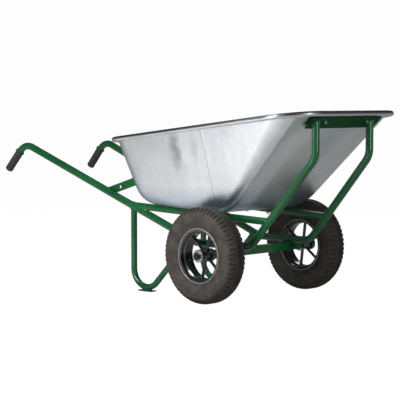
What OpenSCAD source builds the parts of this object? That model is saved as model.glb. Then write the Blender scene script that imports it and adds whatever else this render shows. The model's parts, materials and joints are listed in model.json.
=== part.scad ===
// Two wheel wheelbarrow: galvanised pan on a bent tube frame with two pneumatic tyres.
// X runs forward to the nose, Y to the left, Z up. The origin is on the ground,
// under the middle of the barrow's length. Distances along X count from the axle.

/* [Wheels] */
// Outer diameter of the tyre
tyre_d = 400; // [390:1:412]
// Width of the tyre
tyre_w = 96; // [92:1:104]
// Gap between a tyre and the edge of the pan's floor
wheel_gap = 25; // [15:1:60]
// Thickness of the tyre at the crown, tread included
crown_t = 12; // [9:0.5:15]
// Thickness of the tyre's side wall
sidewall_t = 9; // [6:0.5:11]
// Radius of the tyre's shoulder
shoulder_r = 34; // [28:1:38]
// Number of lugs round each shoulder
lug_count = 60; // [40:2:66]
// Depth of the gaps between the lugs
lug_depth = 3; // [2:0.5:5]
// Share of the pitch that a gap takes
lug_gap = 0.42; // [0.3:0.02:0.6]
// Depth of the two grooves round the tread
groove_depth = 4; // [2:0.5:6]
// Width of the two grooves round the tread
groove_w = 4; // [2:0.5:6]
// Wall of the inner tube
tube_rubber = 2.5; // [1.5:0.5:4]
// Height of the tyre's section above the rim's bead seat
tyre_h = 96; // [92:0.5:100]
// Height of the rim's side flange above the bead seat
flange_h = 8; // [6:1:12]
// Width of the rim between its side flanges
rim_w = 66; // [60:1:70]
// Depth of the rim's middle well below the bead seat
well_depth = 7; // [5:1:12]
// Half width of the well's floor
well_half = 14; // [10:1:18]
// Sheet thickness of the rim
rim_t = 2.5; // [2:0.5:4]
// Number of flat bar spokes
spoke_count = 6; // [4:1:8]
// Thickness of a spoke
spoke_t = 4; // [3:0.5:6]
// Depth of a spoke along the axle
spoke_depth = 18; // [12:1:20]
// Distance of the spokes inward from the middle of the tyre
spoke_inset = 12; // [0:1:12]
// Turn of the right wheel's spokes
right_phase = 17; // [0:1:60]
// Turn of the left wheel's spokes
left_phase = 37; // [0:1:60]

/* [Hub and axle] */
// Diameter of the axle
axle_d = 20; // [16:1:24]
// Length of the hub
hub_len = 80; // [70:1:90]
// Diameter of the hub between its bearing cups
hub_d = 40; // [36:1:46]
// Wall of the hub's bearing cups
cup_wall = 3.5; // [2:0.5:5]
// Outer diameter of the bearings
bearing_d = 47; // [44:1:52]
// Width of each bearing
bearing_w = 14; // [10:1:16]
// Running clearance between bearing and axle, on the radius
axle_clearance = 0.05; // [0.02:0.01:0.1]
// Gap between a bearing and the washer beside it
end_play = 0.5; // [0.3:0.1:1]
// Depth of the bearings inside the hub's ends
bearing_recess = 1; // [0.5:0.5:3]
// Thickness of the axle washers
axle_washer_t = 2.5; // [2:0.5:5]
// Diameter of the axle washers
axle_washer_d = 34; // [30:1:40]
// Width across flats of the axle nuts
axle_nut_af = 30; // [27:1:36]
// Height of the axle nuts
axle_nut_h = 7; // [6:0.5:12]
// Length of the axle past its nuts
axle_end = 1.5; // [1:0.5:6]
// Thickness of the collars between the beam and the hubs
collar_t = 5; // [3:0.5:10]
// Side of the square axle beam
beam_side = 35; // [30:1:45]
// Wall of the axle beam
beam_wall = 3; // [2:0.5:5]
// Thickness of the plates in the ends of the beam
beam_plate_t = 6; // [4:1:10]

/* [Frame] */
// Diameter of the frame tubes
tube_d = 32; // [31:0.5:36]
// Diameter of the bed rails
rail_d = 30; // [26:0.5:30.5]
// Wall of the frame tubes
tube_wall = 2; // [1.5:0.5:3]
// Distance from the middle plane to a frame tube, at the axle
frame_half = 196.5; // [188:0.5:205]
// Angle by which each side closes in toward the nose
toe_in = 2.7; // [1:0.1:4]
// Distance of the handle's top bend behind the axle
handle_back = 1234; // [1150:1:1300]
// Height of the handle's top bend above the low run
handle_rise = 399.5; // [340:0.5:460]
// Distance of the grip's end behind the handle's top bend
grip_back = 118; // [100:1:160]
// Drop of the grip's end below the handle's top bend
grip_drop = 127; // [90:1:150]
// Distance of the low bend behind the axle
low_back = 159; // [130:1:180]
// Distance of the low bend before the axle
low_fore = 135; // [125:1:150]
// Drop of the bend below the nose uprights, from their upper ends
upright_drop = 131; // [100:1:160]
// Bend radius of the frame tubes
bend_r = 75; // [60:1:90]
// Distance of the bed rail's rear end behind the axle
rail_back = 537; // [500:1:570]
// Angle by which the bed falls toward the nose
bed_fall = 2.34; // [1.5:0.02:3.2]
// Length of a grip
grip_len = 120; // [100:1:124]
// Diameter of a grip
grip_d = 37; // [36:0.5:42]
// Thickness of a grip's closed end
grip_end_t = 5; // [3:0.5:8]

/* [Legs] */
// Diameter of the leg tubes
leg_d = 27; // [24:0.5:30]
// Distance of the upright part of a leg behind the axle
leg_back = 525; // [505:1:535]
// Bend radius at the foot of a leg
leg_bend_r = 78; // [65:1:90]
// Distance behind the axle at which a leg meets the low end of the incline
leg_landing = 194; // [186:1:240]
// Length of the wear plate under a foot
skid_len = 84; // [60:1:100]
// Width of the wear plate under a foot
skid_w = 34; // [28:1:44]
// Thickness of the wear plate under a foot
skid_t = 5; // [3:0.5:8]

/* [Pan] */
// Sheet thickness of the pan
pan_t = 1.5; // [1.2:0.1:2.5]
// Distance of the rim's front bead before the axle
rim_fore = 514.5; // [500:0.5:530]
// Distance of the rim's rear bead behind the axle
rim_back = 578.5; // [565:0.5:600]
// Spread of the rim's bead beyond the floor's edge at the front
flare_front = 108.5; // [100:0.5:130]
// Spread of the rim's bead beyond the floor's edge at the rear
flare_rear = 86.5; // [76:0.5:110]
// Plan radius of the bead at the front corners
rim_front_r = 158; // [120:1:180]
// Plan radius of the bead at the rear corners
rim_rear_r = 112; // [90:1:140]
// Height of the rim's front bead above the low run
rim_rise = 550; // [530:0.5:580]
// Angle by which the rim drops toward the handles
rim_tilt = 6.45; // [5:0.05:8]
// Width of the flange between the wall and the middle of the bead
rim_flange = 16.5; // [14:0.5:24]
// Radius of the rolled bead
bead_r = 10.5; // [7:0.5:12]
// Distance of the floor's front edge before the axle, where wall and floor would meet
floor_fore = 60; // [40:1:75]
// Distance of the floor's rear edge behind the axle, where wall and floor would meet
floor_back = 477; // [465:1:490]
// Distance of the floor's edge outside the bed rail at the front
floor_margin_front = 56; // [52:1:70]
// Distance of the floor's edge outside the bed rail at the rear
floor_margin_rear = 47; // [44:1:64]
// Plan radius of the floor's front corners
floor_front_r = 45; // [35:1:60]
// Plan radius of the floor's rear corners
floor_rear_r = 90; // [70:1:110]
// Width of the flat of the front wall outside each nose bolt
nose_margin = 16; // [12:1:24]
// Turn of each front corner that is left for the fold beside the front wall
fold_angle = 40; // [25:1:55]
// Distance of the side crease's top behind the axle
crease_back = 5; // [-20:1:60]
// Run of the curve from the floor into the front wall
sweep_front = 95; // [60:1:120]
// Run of the curve from the floor into the rear wall
sweep_rear = 75; // [50:1:85]
// Run of the curve from the floor into the side walls
sweep_side = 36; // [24:1:42]

/* [Straps and fasteners] */
// Width of the nose strip
nose_w = 62; // [50:1:70]
// Thickness of the nose strip
nose_t = 6; // [4:0.5:8]
// Overhang of the nose strip outside each upright
nose_overhang = 45; // [25:1:60]
// Drop of the uprights' ends below the rim's front bead
nose_drop = 45; // [42:0.5:70]
// Distance of the middle of the nose strip above the uprights' ends, up the wall
nose_lift = 15; // [0:1:18]
// Distance of a nose bolt inside its upright
nose_bolt_in = 41; // [30:1:70]
// Distance of a nose bolt above the middle of the nose strip
nose_bolt_up = 10; // [0:1:14]
// Width of the rear strap
strap_w = 36; // [30:1:44]
// Thickness of the rear strap
strap_t = 5; // [4:0.5:7]
// Height above the floor's rear edge at which the rear strap's middle meets the pan
strap_rise = 100; // [94:1:130]
// Bend radius of the rear strap's corners, along its middle
strap_bend_r = 14; // [10:1:20]
// Overlap of the rear strap on a handle tube
strap_lap = 60; // [40:1:80]
// Distance of the rear strap's hole from its end
strap_hole_at = 96; // [90:1:120]
// Diameter of the rear strap's hole
strap_hole_d = 14; // [8:0.5:18]
// Distance of a rear strap bolt inside the strap's corner
strap_bolt_in = 82; // [50:1:120]
// Distance of the rear floor bolts behind the axle
floor_bolt_rear = 240; // [200:1:320]
// Distance of the front floor bolts behind the axle
floor_bolt_front = 110; // [90:1:150]
// Diameter of the pan bolts
bolt_d = 8; // [6:0.5:10]
// Clearance of the bolt holes, on the radius
bolt_clearance = 0.5; // [0.3:0.1:1]
// Diameter of the domed bolt heads
bolt_head_d = 20; // [16:0.5:22]
// Height of the domed bolt heads
bolt_head_h = 5; // [3:0.5:6]
// Width across flats of the pan nuts
nut_af = 13; // [12:0.5:17]
// Height of the pan nuts
nut_h = 6.5; // [5:0.5:9]
// Length of a pan bolt past its nut
bolt_end = 3; // [1:0.5:6]
// Diameter of the valve stems
valve_d = 9; // [7:0.5:11]
// Share of the space between rim and hub that a valve with its cap takes
valve_share = 0.45; // [0.35:0.05:0.7]
// Number of the spoke gap that holds the right wheel's valve
right_valve_gap = 0; // [0:1:3]
// Number of the spoke gap that holds the left wheel's valve
left_valve_gap = 2; // [0:1:3]
// Length of a valve cap
valve_cap_len = 9; // [6:0.5:12]
// Diameter of a grease nipple
nipple_d = 6; // [5:0.5:8]
// Height of a grease nipple
nipple_h = 10; // [7:0.5:12]

/* [Hidden] */
$fn = 64;

RIGHT = -1;
LEFT = 1;
SIDES = [RIGHT, LEFT];

PAINT = [0.06, 0.36, 0.16];
ZINC = [0.78, 0.80, 0.82];
RUBBER = [0.20, 0.18, 0.17];
BLACK = [0.09, 0.09, 0.10];

// A cut runs past the faces it opens by this much
over = 1;

// A bend swells a little, and the straights beside it end inside it
bend_swell = 0.05;
straight_lap = 1;

// Heights that follow from the wheels
axle_z = tyre_d / 2;
low_z = axle_z + beam_side / 2 + tube_d / 2;
handle_z = low_z + handle_rise;
rim_front_z = low_z + rim_rise;
nose_z = rim_front_z - nose_drop;

// Height over a distance, on the line through two points [x, z]
function line_z(a, b, x) = a[1] + (b[1] - a[1]) * (x - a[0]) / (b[0] - a[0]);

// Corner points of a frame tube in its own upright plane, as [x, z], as far as the bed needs them
handle_top = [-handle_back, handle_z];
grip_end = handle_top - [grip_back, grip_drop];
low_rear = [-low_back, low_z];
low_front = [low_fore, low_z];
function incline_z(x) = line_z(handle_top, low_rear, x);

// The bed rails start on the incline, and the pan's floor lies on them
rail_rear = [-rail_back, incline_z(-rail_back)];
function rail_z(x) = rail_rear[1] - tan(bed_fall) * (x + rail_back);
floor_angle = atan(tan(bed_fall) / cos(toe_in));
function floor_z(x) = rail_z(x / cos(toe_in)) + rail_d / 2 / cos(bed_fall);
function rim_z(x) = rim_front_z + tan(rim_tilt) * (x - rim_fore);

// Half widths of the frame, the floor and the rim
function rail_y(x) = frame_half - x * tan(toe_in);
floor_half_front = rail_y(floor_fore) + floor_margin_front;
floor_half_rear = rail_y(-floor_back) + floor_margin_rear;
rim_half_front = floor_half_front + flare_front;
rim_half_rear = floor_half_rear + flare_rear;
track = 2 * (floor_half_front + wheel_gap) + tyre_w;

// Top edges of the pan's end walls, and the lean of those walls
front_top = [rim_fore - rim_flange, rim_z(rim_fore - rim_flange)];
front_foot = [floor_fore, floor_z(floor_fore)];
rear_top = [rim_flange - rim_back, rim_z(rim_flange - rim_back)];
rear_foot = [-floor_back, floor_z(-floor_back)];
front_lean = atan2(front_top[0] - front_foot[0], front_top[1] - front_foot[1]);
rear_lean = atan2(rear_top[0] - rear_foot[0], rear_top[1] - rear_foot[1]);
nose_x = front_foot[0] + (nose_z - front_foot[1]) * tan(front_lean);
strap_z = rear_foot[1] + strap_rise;
strap_x = rear_foot[0] + strap_rise * tan(rear_lean);

// Each upright ends on the nose strip, and the strut leads up to it
upright_fore = (nose_x + nose_t / cos(front_lean)) / cos(toe_in);
upright_foot = [upright_fore, nose_z - upright_drop];
strut_rise = (upright_foot[1] - low_z) / (upright_fore - low_fore);
rail_fore = (rail_z(0) - low_z + strut_rise * low_fore) / (strut_rise + tan(bed_fall));
rail_front = [rail_fore, rail_z(rail_fore)];
upright_y = rail_y(nose_x);
nose_half = upright_y + nose_overhang;
nose_bolt_y = upright_y - nose_bolt_in;
nose_flat = nose_bolt_y + nose_margin;

// Reach of the barrow before and behind the axle, which puts the origin mid length
grip_fall = atan2(grip_drop, grip_back);
grip_edge = 5;
grip_reach = (handle_back + grip_back) * cos(toe_in) - grip_edge * cos(grip_fall)
    + (grip_d / 2 - grip_edge) * sin(grip_fall) + grip_edge;
nose_reach = rim_fore + bead_r;
axle_x = (grip_reach - nose_reach) / 2;

// Axle stations counted outward from the middle of the barrow
hub_inner = track / 2 - hub_len / 2;
hub_outer = track / 2 + hub_len / 2;
collar_outer = hub_inner + bearing_recess - end_play;
beam_half = collar_outer - collar_t;
collar_d = axle_washer_d - 2;
washer_inner = hub_outer - bearing_recess + end_play;
nut_inner = washer_inner + axle_washer_t;
axle_half = nut_inner + axle_nut_h + axle_end;

// Radii in a wheel's section
tyre_r = tyre_d / 2;
tyre_half = tyre_w / 2;
seat_r = tyre_r - tyre_h;
flange_r = seat_r + flange_h;
well_r = seat_r - well_depth;
inner_tube_r = tyre_half - sidewall_t;
inner_tube_at = tyre_r - crown_t - inner_tube_r;
cup_d = bearing_d + 2 * cup_wall;
barrel_r = well_r - rim_t;
valve_cap_d = valve_d - 1;
valve_tip_r = barrel_r - valve_share * (barrel_r - hub_d / 2) + valve_cap_len;

// Grid of the pan's skin
front_steps = 3;
bow_steps = 4;
corner_steps = 6;
wing_steps = 4;
side_steps = 4;
rear_corner_steps = 8;
rear_steps = 2;
sweep_steps = 6;
lip_steps = 3;
curl_steps = 9;
crease_step = 10;
curl_from = 90;
curl_to = -170;

// Points between two others, and on a curve with one control point
function mix(a, b, t) = a + (b - a) * t;
function curve(a, b, c, t) = mix(mix(a, b, t), mix(b, c, t), t);
function unit(v) = v / norm(v);

// Sets what follows in the frame of the axle, one side's upright plane, or one wheel
module from_axle() {
    translate([axle_x, 0, 0]) children();
}

module in_side_plane(side) {
    from_axle() translate([0, side * frame_half, 0]) rotate([0, 0, -side * toe_in]) children();
}

module at_wheel(side) {
    from_axle() translate([0, side * track / 2, axle_z]) rotate([-90 * side, 0, 0]) children();
}

// Sets what follows on the outer face of an end wall: X square to the wall, Z up along it
module on_nose_wall() {
    from_axle() translate([nose_x, 0, nose_z]) rotate([0, front_lean, 0]) children();
}

module on_rear_wall() {
    from_axle() translate([strap_x, 0, strap_z]) rotate([0, rear_lean, 0]) children();
}

// Sets what follows at each floor bolt: on the floor's lower face, Z square to the floor
module at_floor_bolts() {
    for (side = SIDES)
        for (back = [floor_bolt_rear, floor_bolt_front])
            let (x = -back * cos(toe_in), y = side * (frame_half + back * sin(toe_in)))
                from_axle() translate([x, y, floor_z(x)]) rotate([0, floor_angle, 0]) children();
}

module at_nose_bolts() {
    for (side = SIDES)
        on_nose_wall() translate([0, side * nose_bolt_y, nose_lift + nose_bolt_up])
            rotate([0, -90, 0]) children();
}

module at_strap_bolts() {
    for (side = SIDES)
        on_rear_wall() translate([0, side * strap_bolt_y, 0]) rotate([0, 90, 0]) children();
}

// A bar carried along corner points [x, y, bend radius] in the XY plane.
// The first child is the section of its straights, the second the section of its bends;
// the section's x lies across the path in that plane, its y along Z.
function flat(q) = [q[0], q[1]];
function turn_at(p, i) =
    let (u = unit(flat(p[i]) - flat(p[i - 1])), v = unit(flat(p[i + 1]) - flat(p[i])))
        atan2(u[0] * v[1] - u[1] * v[0], u * v);
function at_end(p, i) = i == 0 || i == len(p) - 1;
function trim_at(p, i) = at_end(p, i) ? 0 : p[i][2] * tan(abs(turn_at(p, i)) / 2) - straight_lap;

module carried(p) {
    for (i = [0 : len(p) - 2])
        let (a = flat(p[i]), b = flat(p[i + 1]), u = unit(b - a), from = a + u * trim_at(p, i))
            translate([from[0], from[1], 0])
                rotate([0, 0, atan2(u[1], u[0])]) rotate([90, 0, 90])
                    linear_extrude(norm(b - a) - trim_at(p, i) - trim_at(p, i + 1)) children(0);
    if (len(p) > 2)
        for (i = [1 : len(p) - 2])
            let (
                turn = turn_at(p, i),
                hand = sign(turn),
                u = unit(flat(p[i]) - flat(p[i - 1])),
                from = flat(p[i]) - u * p[i][2] * tan(abs(turn) / 2),
                mid = from + hand * p[i][2] * [-u[1], u[0]],
                start = atan2(-hand * u[0], hand * u[1])
            )
                translate([mid[0], mid[1], 0]) rotate([0, 0, min(start, start + turn)])
                    rotate_extrude(angle = abs(turn)) translate([p[i][2], 0]) children(1);
}

module round_bar(p, d) {
    carried(p) {
        circle(d = d);
        circle(d = d + 2 * bend_swell);
    }
}

// Turns the XY plane of a path upright, into X and Z
module upright() {
    rotate([90, 0, 0]) children();
}

// A round bar between two points [x, z] of an upright plane
module rod(a, b, d) {
    upright() round_bar([[a[0], a[1], 0], [b[0], b[1], 0]], d);
}

// The same path, longer by the overcut at both ends
function longer(p) =
    let (n = len(p) - 1, u = unit(flat(p[0]) - flat(p[1])), v = unit(flat(p[n]) - flat(p[n - 1])))
        [for (i = [0 : n]) i == 0 ? with_radius(flat(p[0]) + over * u)
            : i == n ? with_radius(flat(p[n]) + over * v) : p[i]];
function with_radius(q) = [q[0], q[1], 0];

// One tube bent through corner points of an upright plane
module bent_tube(p, d, wall) {
    difference() {
        upright() round_bar(p, d);
        upright() round_bar(longer(p), d - 2 * wall);
    }
}

module hex_nut(af, h, bore) {
    difference() {
        cylinder(h = h, d = af / cos(30), $fn = 6);
        translate([0, 0, -over]) cylinder(h = h + 2 * over, d = bore);
    }
}

module ring(h, outer, inner) {
    difference() {
        cylinder(h = h, d = outer);
        translate([0, 0, -over]) cylinder(h = h + 2 * over, d = inner);
    }
}

// A bolt through the pan: domed head on the inside at z = pan_t, shank down through the grip below
module pan_bolt(grip) {
    dome_r = (pow(bolt_head_d / 2, 2) + pow(bolt_head_h, 2)) / (2 * bolt_head_h);
    translate([0, 0, pan_t]) intersection() {
        translate([0, 0, bolt_head_h - dome_r]) sphere(r = dome_r);
        cylinder(h = bolt_head_h + over, d = bolt_head_d + over);
    }
    translate([0, 0, -grip - nut_h - bolt_end])
        cylinder(h = grip + nut_h + bolt_end + pan_t, d = bolt_d);
}

module pan_nut(grip) {
    translate([0, 0, -grip - nut_h]) hex_nut(nut_af, nut_h, bolt_d);
}

module bolt_hole(depth) {
    translate([0, 0, -depth]) cylinder(h = depth + pan_t + over, d = bolt_d + 2 * bolt_clearance);
}

// Left half of an outline of the pan, from the middle of the front round to the middle of the rear.
// xf and xr are its ends, wf and wr its half widths, rf and rr its corner radii. The front is flat
// in the middle; with bow 1 it then bows back to the fold, and with bow 0 it runs into the corner's
// arc. From the arc's end a wing runs back to the side's crease at xs.
bow_power = 1.3;
function fold_y(wf, rf) = wf - rf + rf * sin(fold_angle);
function arc_x(xf, wf, rf, y) = y < wf - rf ? xf : xf - rf + sqrt(rf * rf - pow(y - wf + rf, 2));
function bow_x(xf, wf, rf, y) =
    let (share = max(0, y - nose_flat) / (fold_y(wf, rf) - nose_flat))
        xf - rf * (1 - cos(fold_angle)) * pow(share, bow_power);
function front_x(xf, wf, rf, bow, y) = mix(arc_x(xf, wf, rf, y), bow_x(xf, wf, rf, y), bow);
function corner(x, y, r, a) = [x + r * cos(a), y + r * sin(a)];
function steps(a, b, n) = [for (i = [0 : n - 1]) mix(a, b, i / n)];
function half_outline(xf, xr, wf, wr, rf, rr, xs, bow) = concat(
    [for (y = steps(0, nose_flat, front_steps)) [xf, y]],
    [for (y = steps(nose_flat, fold_y(wf, rf), bow_steps)) [front_x(xf, wf, rf, bow, y), y]],
    [for (a = steps(fold_angle, 90, corner_steps)) corner(xf - rf, wf - rf, rf, a)],
    steps([xf - rf, wf], [xs, wf], wing_steps),
    steps([xs, wf], [xr + rr, wr], side_steps),
    [for (a = steps(90, 180, rear_corner_steps)) corner(xr + rr, wr - rr, rr, a)],
    steps([xr, wr - rr], [xr, 0], rear_steps)
);
function right_half(p) = [for (i = [len(p) - 1 : -1 : 1]) [p[i][0], -p[i][1]]];
function whole(p, rear) = concat(p, [[rear, 0]], right_half(p));
function outline(xf, xr, wf, wr, rf, rr, xs, bow) =
    whole(half_outline(xf, xr, wf, wr, rf, rr, xs, bow), xr);
function on_floor(p) = [for (q = p) [q[0], q[1], floor_z(q[0])]];
function on_rim(p) = [for (q = p) [q[0], q[1], rim_z(q[0])]];

// The side crease runs from just behind the floor's front corner up to the rim
crease_foot = floor_fore - floor_front_r - crease_step;
crease_top = -crease_back;

// The pan's outer skin: flat floor, curve into the wall, straight wall, lip and rolled bead
flat_ring = on_floor(outline(
    floor_fore - sweep_front, sweep_rear - floor_back,
    floor_half_front - sweep_side, floor_half_rear - sweep_side,
    floor_front_r, floor_rear_r, crease_foot - sweep_front, 1));
foot_ring = on_floor(outline(
    floor_fore, -floor_back, floor_half_front, floor_half_rear,
    floor_front_r, floor_rear_r, crease_foot, 1));
top_ring = on_rim(outline(
    rim_fore - rim_flange, rim_flange - rim_back,
    rim_half_front - rim_flange, rim_half_rear - rim_flange,
    rim_front_r - rim_flange, rim_rear_r - rim_flange, crease_top, 1));
bead_ring = on_rim(outline(
    rim_fore, -rim_back, rim_half_front, rim_half_rear,
    rim_front_r, rim_rear_r, crease_top, 0));
stations = len(flat_ring);
rim_up = [-sin(rim_tilt), 0, cos(rim_tilt)];
floor_up = [sin(floor_angle), 0, cos(floor_angle)];
floor_middle_x = (floor_fore - floor_back) / 2;
floor_middle = [floor_middle_x, 0, floor_z(floor_middle_x)];
curl_r = bead_r - pan_t;

function sweep_end(j) =
    let (foot = foot_ring[j], top = top_ring[j])
        mix(foot, top, norm(foot - flat_ring[j]) / norm(top - foot));
function outward(j) = unit(bead_ring[j] - top_ring[j]);
function lip_corner(j) =
    let (up = unit(top_ring[j] - foot_ring[j])) top_ring[j] + up * curl_r / (up * rim_up);
function lip_end(j) = bead_ring[j] + curl_r * rim_up;
function curl_point(j, a) = bead_ring[j] + curl_r * (cos(a) * outward(j) + sin(a) * rim_up);

outer_skin = concat(
    [for (i = [0 : sweep_steps])
        [for (j = [0 : stations - 1]) curve(flat_ring[j], foot_ring[j], sweep_end(j), i / sweep_steps)]],
    [[for (j = [0 : stations - 1]) mix(sweep_end(j), top_ring[j], 0.5)]],
    [for (i = [0 : lip_steps])
        [for (j = [0 : stations - 1]) curve(top_ring[j], lip_corner(j), lip_end(j), i / lip_steps)]],
    [for (i = [1 : curl_steps])
        [for (j = [0 : stations - 1]) curl_point(j, mix(curl_from, curl_to, i / curl_steps))]]
);
rings = len(outer_skin);

// The inner skin stands one sheet thickness off the outer one
function across(i, j) =
    outer_skin[i][(j + 1) % stations] - outer_skin[i][(j + stations - 1) % stations];
function along(i, j) = outer_skin[min(i + 1, rings - 1)][j] - outer_skin[max(i - 1, 0)][j];
function inward(i, j) = i == 0 ? floor_up : unit(cross(along(i, j), across(i, j)));
inner_skin = [for (i = [0 : rings - 1])
    [for (j = [0 : stations - 1]) outer_skin[i][j] + pan_t * inward(i, j)]];

function flatten(rows) = [for (row = rows) for (q = row) q];
function quad(a, b, c, d) = [[a, b, c], [a, c, d]];

module pan_sheet() {
    skin = rings * stations;
    middle = 2 * skin;
    hubs = [floor_middle, floor_middle + pan_t * floor_up];
    points = concat(flatten(outer_skin), flatten(inner_skin), hubs);
    walls = [for (i = [0 : rings - 2]) for (j = [0 : stations - 1])
        let (k = (j + 1) % stations, p = i * stations, q = p + stations)
            each concat(
                quad(p + j, q + j, q + k, p + k),
                quad(skin + p + k, skin + q + k, skin + q + j, skin + p + j))];
    last = (rings - 1) * stations;
    edge = [for (j = [0 : stations - 1]) let (k = (j + 1) % stations)
        each quad(last + j, skin + last + j, skin + last + k, last + k)];
    floor_fan = [for (j = [0 : stations - 1]) let (k = (j + 1) % stations)
        each [[middle, j, k], [middle + 1, skin + k, skin + j]]];
    polyhedron(points, concat(walls, edge, floor_fan));
}

// Galvanised steel pan, pressed from one sheet with its edge rolled over
module pan() {
    color(ZINC) difference() {
        from_axle() pan_sheet();
        at_floor_bolts() bolt_hole(over);
        at_nose_bolts() bolt_hole(over);
        at_strap_bolts() bolt_hole(over);
    }
}

// Everything on the outer side of the nose strip's inner face
module beyond_nose_strip() {
    reach = 4 * tube_d;
    on_nose_wall() translate([nose_t - reach, -rim_half_front, -nose_w])
        cube([reach, 2 * rim_half_front, 2 * nose_w + reach]);
}

// One tube a side: grip, handle, incline, low run over the axle beam, strut and nose upright
module frame_tube(side) {
    tube_end = grip_end + grip_end_t * unit(handle_top - grip_end);
    top = nose_z + nose_w;
    path = [
        [tube_end[0], tube_end[1], 0],
        [handle_top[0], handle_top[1], bend_r],
        [low_rear[0], low_rear[1], bend_r],
        [low_front[0], low_front[1], bend_r],
        [upright_foot[0], upright_foot[1], bend_r],
        [upright_fore, top, 0]
    ];
    color(PAINT) difference() {
        in_side_plane(side) bent_tube(path, tube_d, tube_wall);
        beyond_nose_strip();
    }
}

// Straight tube under the pan, coped to the incline and to the strut
module bed_rail(side) {
    color(PAINT) difference() {
        in_side_plane(side) difference() {
            rod(rail_rear, rail_front, rail_d);
            rod(rail_rear, rail_front, rail_d - 2 * tube_wall);
            rod(handle_top, low_rear, tube_d);
            rod(low_front, upright_foot, tube_d);
        }
        at_floor_bolts() bolt_hole(rail_d + over);
    }
}

// Bent tube from the incline down to the foot and back up to the incline.
// Its forward limb touches the foot's bend and ends at the landing point.
leg_foot_z = skid_t + leg_d / 2;
leg_middle = [leg_bend_r - leg_back, leg_foot_z + leg_bend_r];
leg_end = [-leg_landing, incline_z(-leg_landing)];
leg_span = leg_end - leg_middle;
leg_rise = 90 + atan2(leg_span[1], leg_span[0]) - acos(leg_bend_r / norm(leg_span));
leg_corner_z = leg_end[1] - (leg_back - leg_landing) * tan(leg_rise);
incline_fall = (handle_z - low_z) / (handle_back - low_back);

module leg(side) {
    path = [
        [-leg_back, incline_z(-leg_back), 0],
        [-leg_back, leg_corner_z, leg_bend_r],
        [leg_end[0], leg_end[1], 0]
    ];
    color(PAINT) in_side_plane(side) difference() {
        bent_tube(path, leg_d, tube_wall);
        rod(handle_top, low_rear, tube_d);
    }
}

// Wear plate under the bend of a leg, with upturned, tapered ends
module foot_skid(side) {
    toe = skid_t;
    color(PAINT) in_side_plane(side) translate([leg_bend_r - leg_back, 0, 0]) upright()
        translate([0, 0, -skid_w / 2]) linear_extrude(skid_w) polygon([
            [-skid_len / 2 + toe, 0], [skid_len / 2 - toe, 0],
            [skid_len / 2, toe], [-skid_len / 2, toe]
        ]);
}

// Rubber sleeve with a closed, rounded end, finger ribs and a stop ring
grip_stop_d = grip_d + 5;
grip_stop_w = 6;
grip_rib_count = 7;
grip_rib_depth = 1;
grip_rib_w = 4;
grip_plain = 3 * grip_edge;

module grip(side) {
    rib_run = grip_len - grip_stop_w - 2 * grip_plain;
    color(BLACK) in_side_plane(side) translate([grip_end[0], 0, grip_end[1]])
        rotate([0, 90 - grip_fall, 0]) rotate_extrude() difference() {
            union() {
                translate([0, grip_edge]) square([grip_d / 2, grip_len - grip_edge]);
                square([grip_d / 2 - grip_edge, 2 * grip_edge]);
                translate([grip_d / 2 - grip_edge, grip_edge]) circle(r = grip_edge);
                translate([0, grip_len - grip_stop_w]) square([grip_stop_d / 2, grip_stop_w]);
            }
            translate([0, grip_end_t]) square([tube_d / 2, grip_len]);
            translate([-grip_d, 0]) square([grip_d, grip_len]);
            for (i = [0 : grip_rib_count - 1])
                translate([grip_d / 2 - grip_rib_depth, grip_plain + rib_run * i / (grip_rib_count - 1)])
                    square([grip_d, grip_rib_w]);
        }
}

// Flat steel strip under the nose of the pan, welded to both uprights and bolted to the pan
module nose_strip() {
    color(PAINT) difference() {
        on_nose_wall() translate([0, -nose_half, nose_lift - nose_w / 2])
            cube([nose_t, 2 * nose_half, nose_w]);
        at_nose_bolts() bolt_hole(nose_t + over);
    }
}

// Flat bar across the pan's rear wall, its ends bent back to the insides of the handle tubes
strap_splay = tan(toe_in) * cos(rear_lean);
tube_drop = incline_fall * cos(rear_lean) - sin(rear_lean);
strap_twist = tan(toe_in) * abs(sin(rear_lean)) * tube_drop * strap_lap / 2;
strap_half = rail_y(strap_x) - tube_d / 2 / cos(toe_in) - strap_twist
    - strap_t / 2 * sqrt(1 + pow(strap_splay, 2)) + strap_splay * strap_t / 2;
strap_cross = (incline_z(strap_x / cos(toe_in)) - strap_z) / tube_drop;
strap_reach = -strap_cross + strap_lap / 2;
strap_bolt_y = strap_half - strap_bolt_in;

// Everything under a line along a handle tube, a quarter of its diameter below its middle
module under_incline(side) {
    reach = norm(handle_top - low_rear);
    in_side_plane(side) translate([low_rear[0], 0, low_rear[1]]) rotate([0, atan(incline_fall), 0])
        translate([-reach, -tube_d, -tube_d / 4 - strap_reach]) cube([reach, 2 * tube_d, strap_reach]);
}

module rear_strap() {
    corner_x = -strap_t / 2;
    end_x = -strap_reach;
    end_y = strap_half + strap_splay * (strap_reach + corner_x);
    path = [
        [end_x, -end_y, 0],
        [corner_x, -strap_half, strap_bend_r],
        [corner_x, strap_half, strap_bend_r],
        [end_x, end_y, 0]
    ];
    color(PAINT) difference() {
        on_rear_wall() difference() {
            carried(path) {
                square([strap_t, strap_w], center = true);
                square([strap_t + 2 * bend_swell, strap_w + 2 * bend_swell], center = true);
            }
            translate([end_x + strap_hole_at, -rim_half_rear, 0]) rotate([-90, 0, 0])
                cylinder(h = 2 * rim_half_rear, d = strap_hole_d);
        }
        at_strap_bolts() bolt_hole(strap_t + over);
        for (side = SIDES) under_incline(side);
    }
}

// Square tube welded under the low runs of both frame tubes
module axle_beam() {
    inside = beam_side - 2 * beam_wall;
    color(PAINT) from_axle() translate([0, 0, axle_z]) difference() {
        cube([beam_side, 2 * beam_half, beam_side], center = true);
        cube([inside, 2 * beam_half + over, inside], center = true);
    }
}

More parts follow.
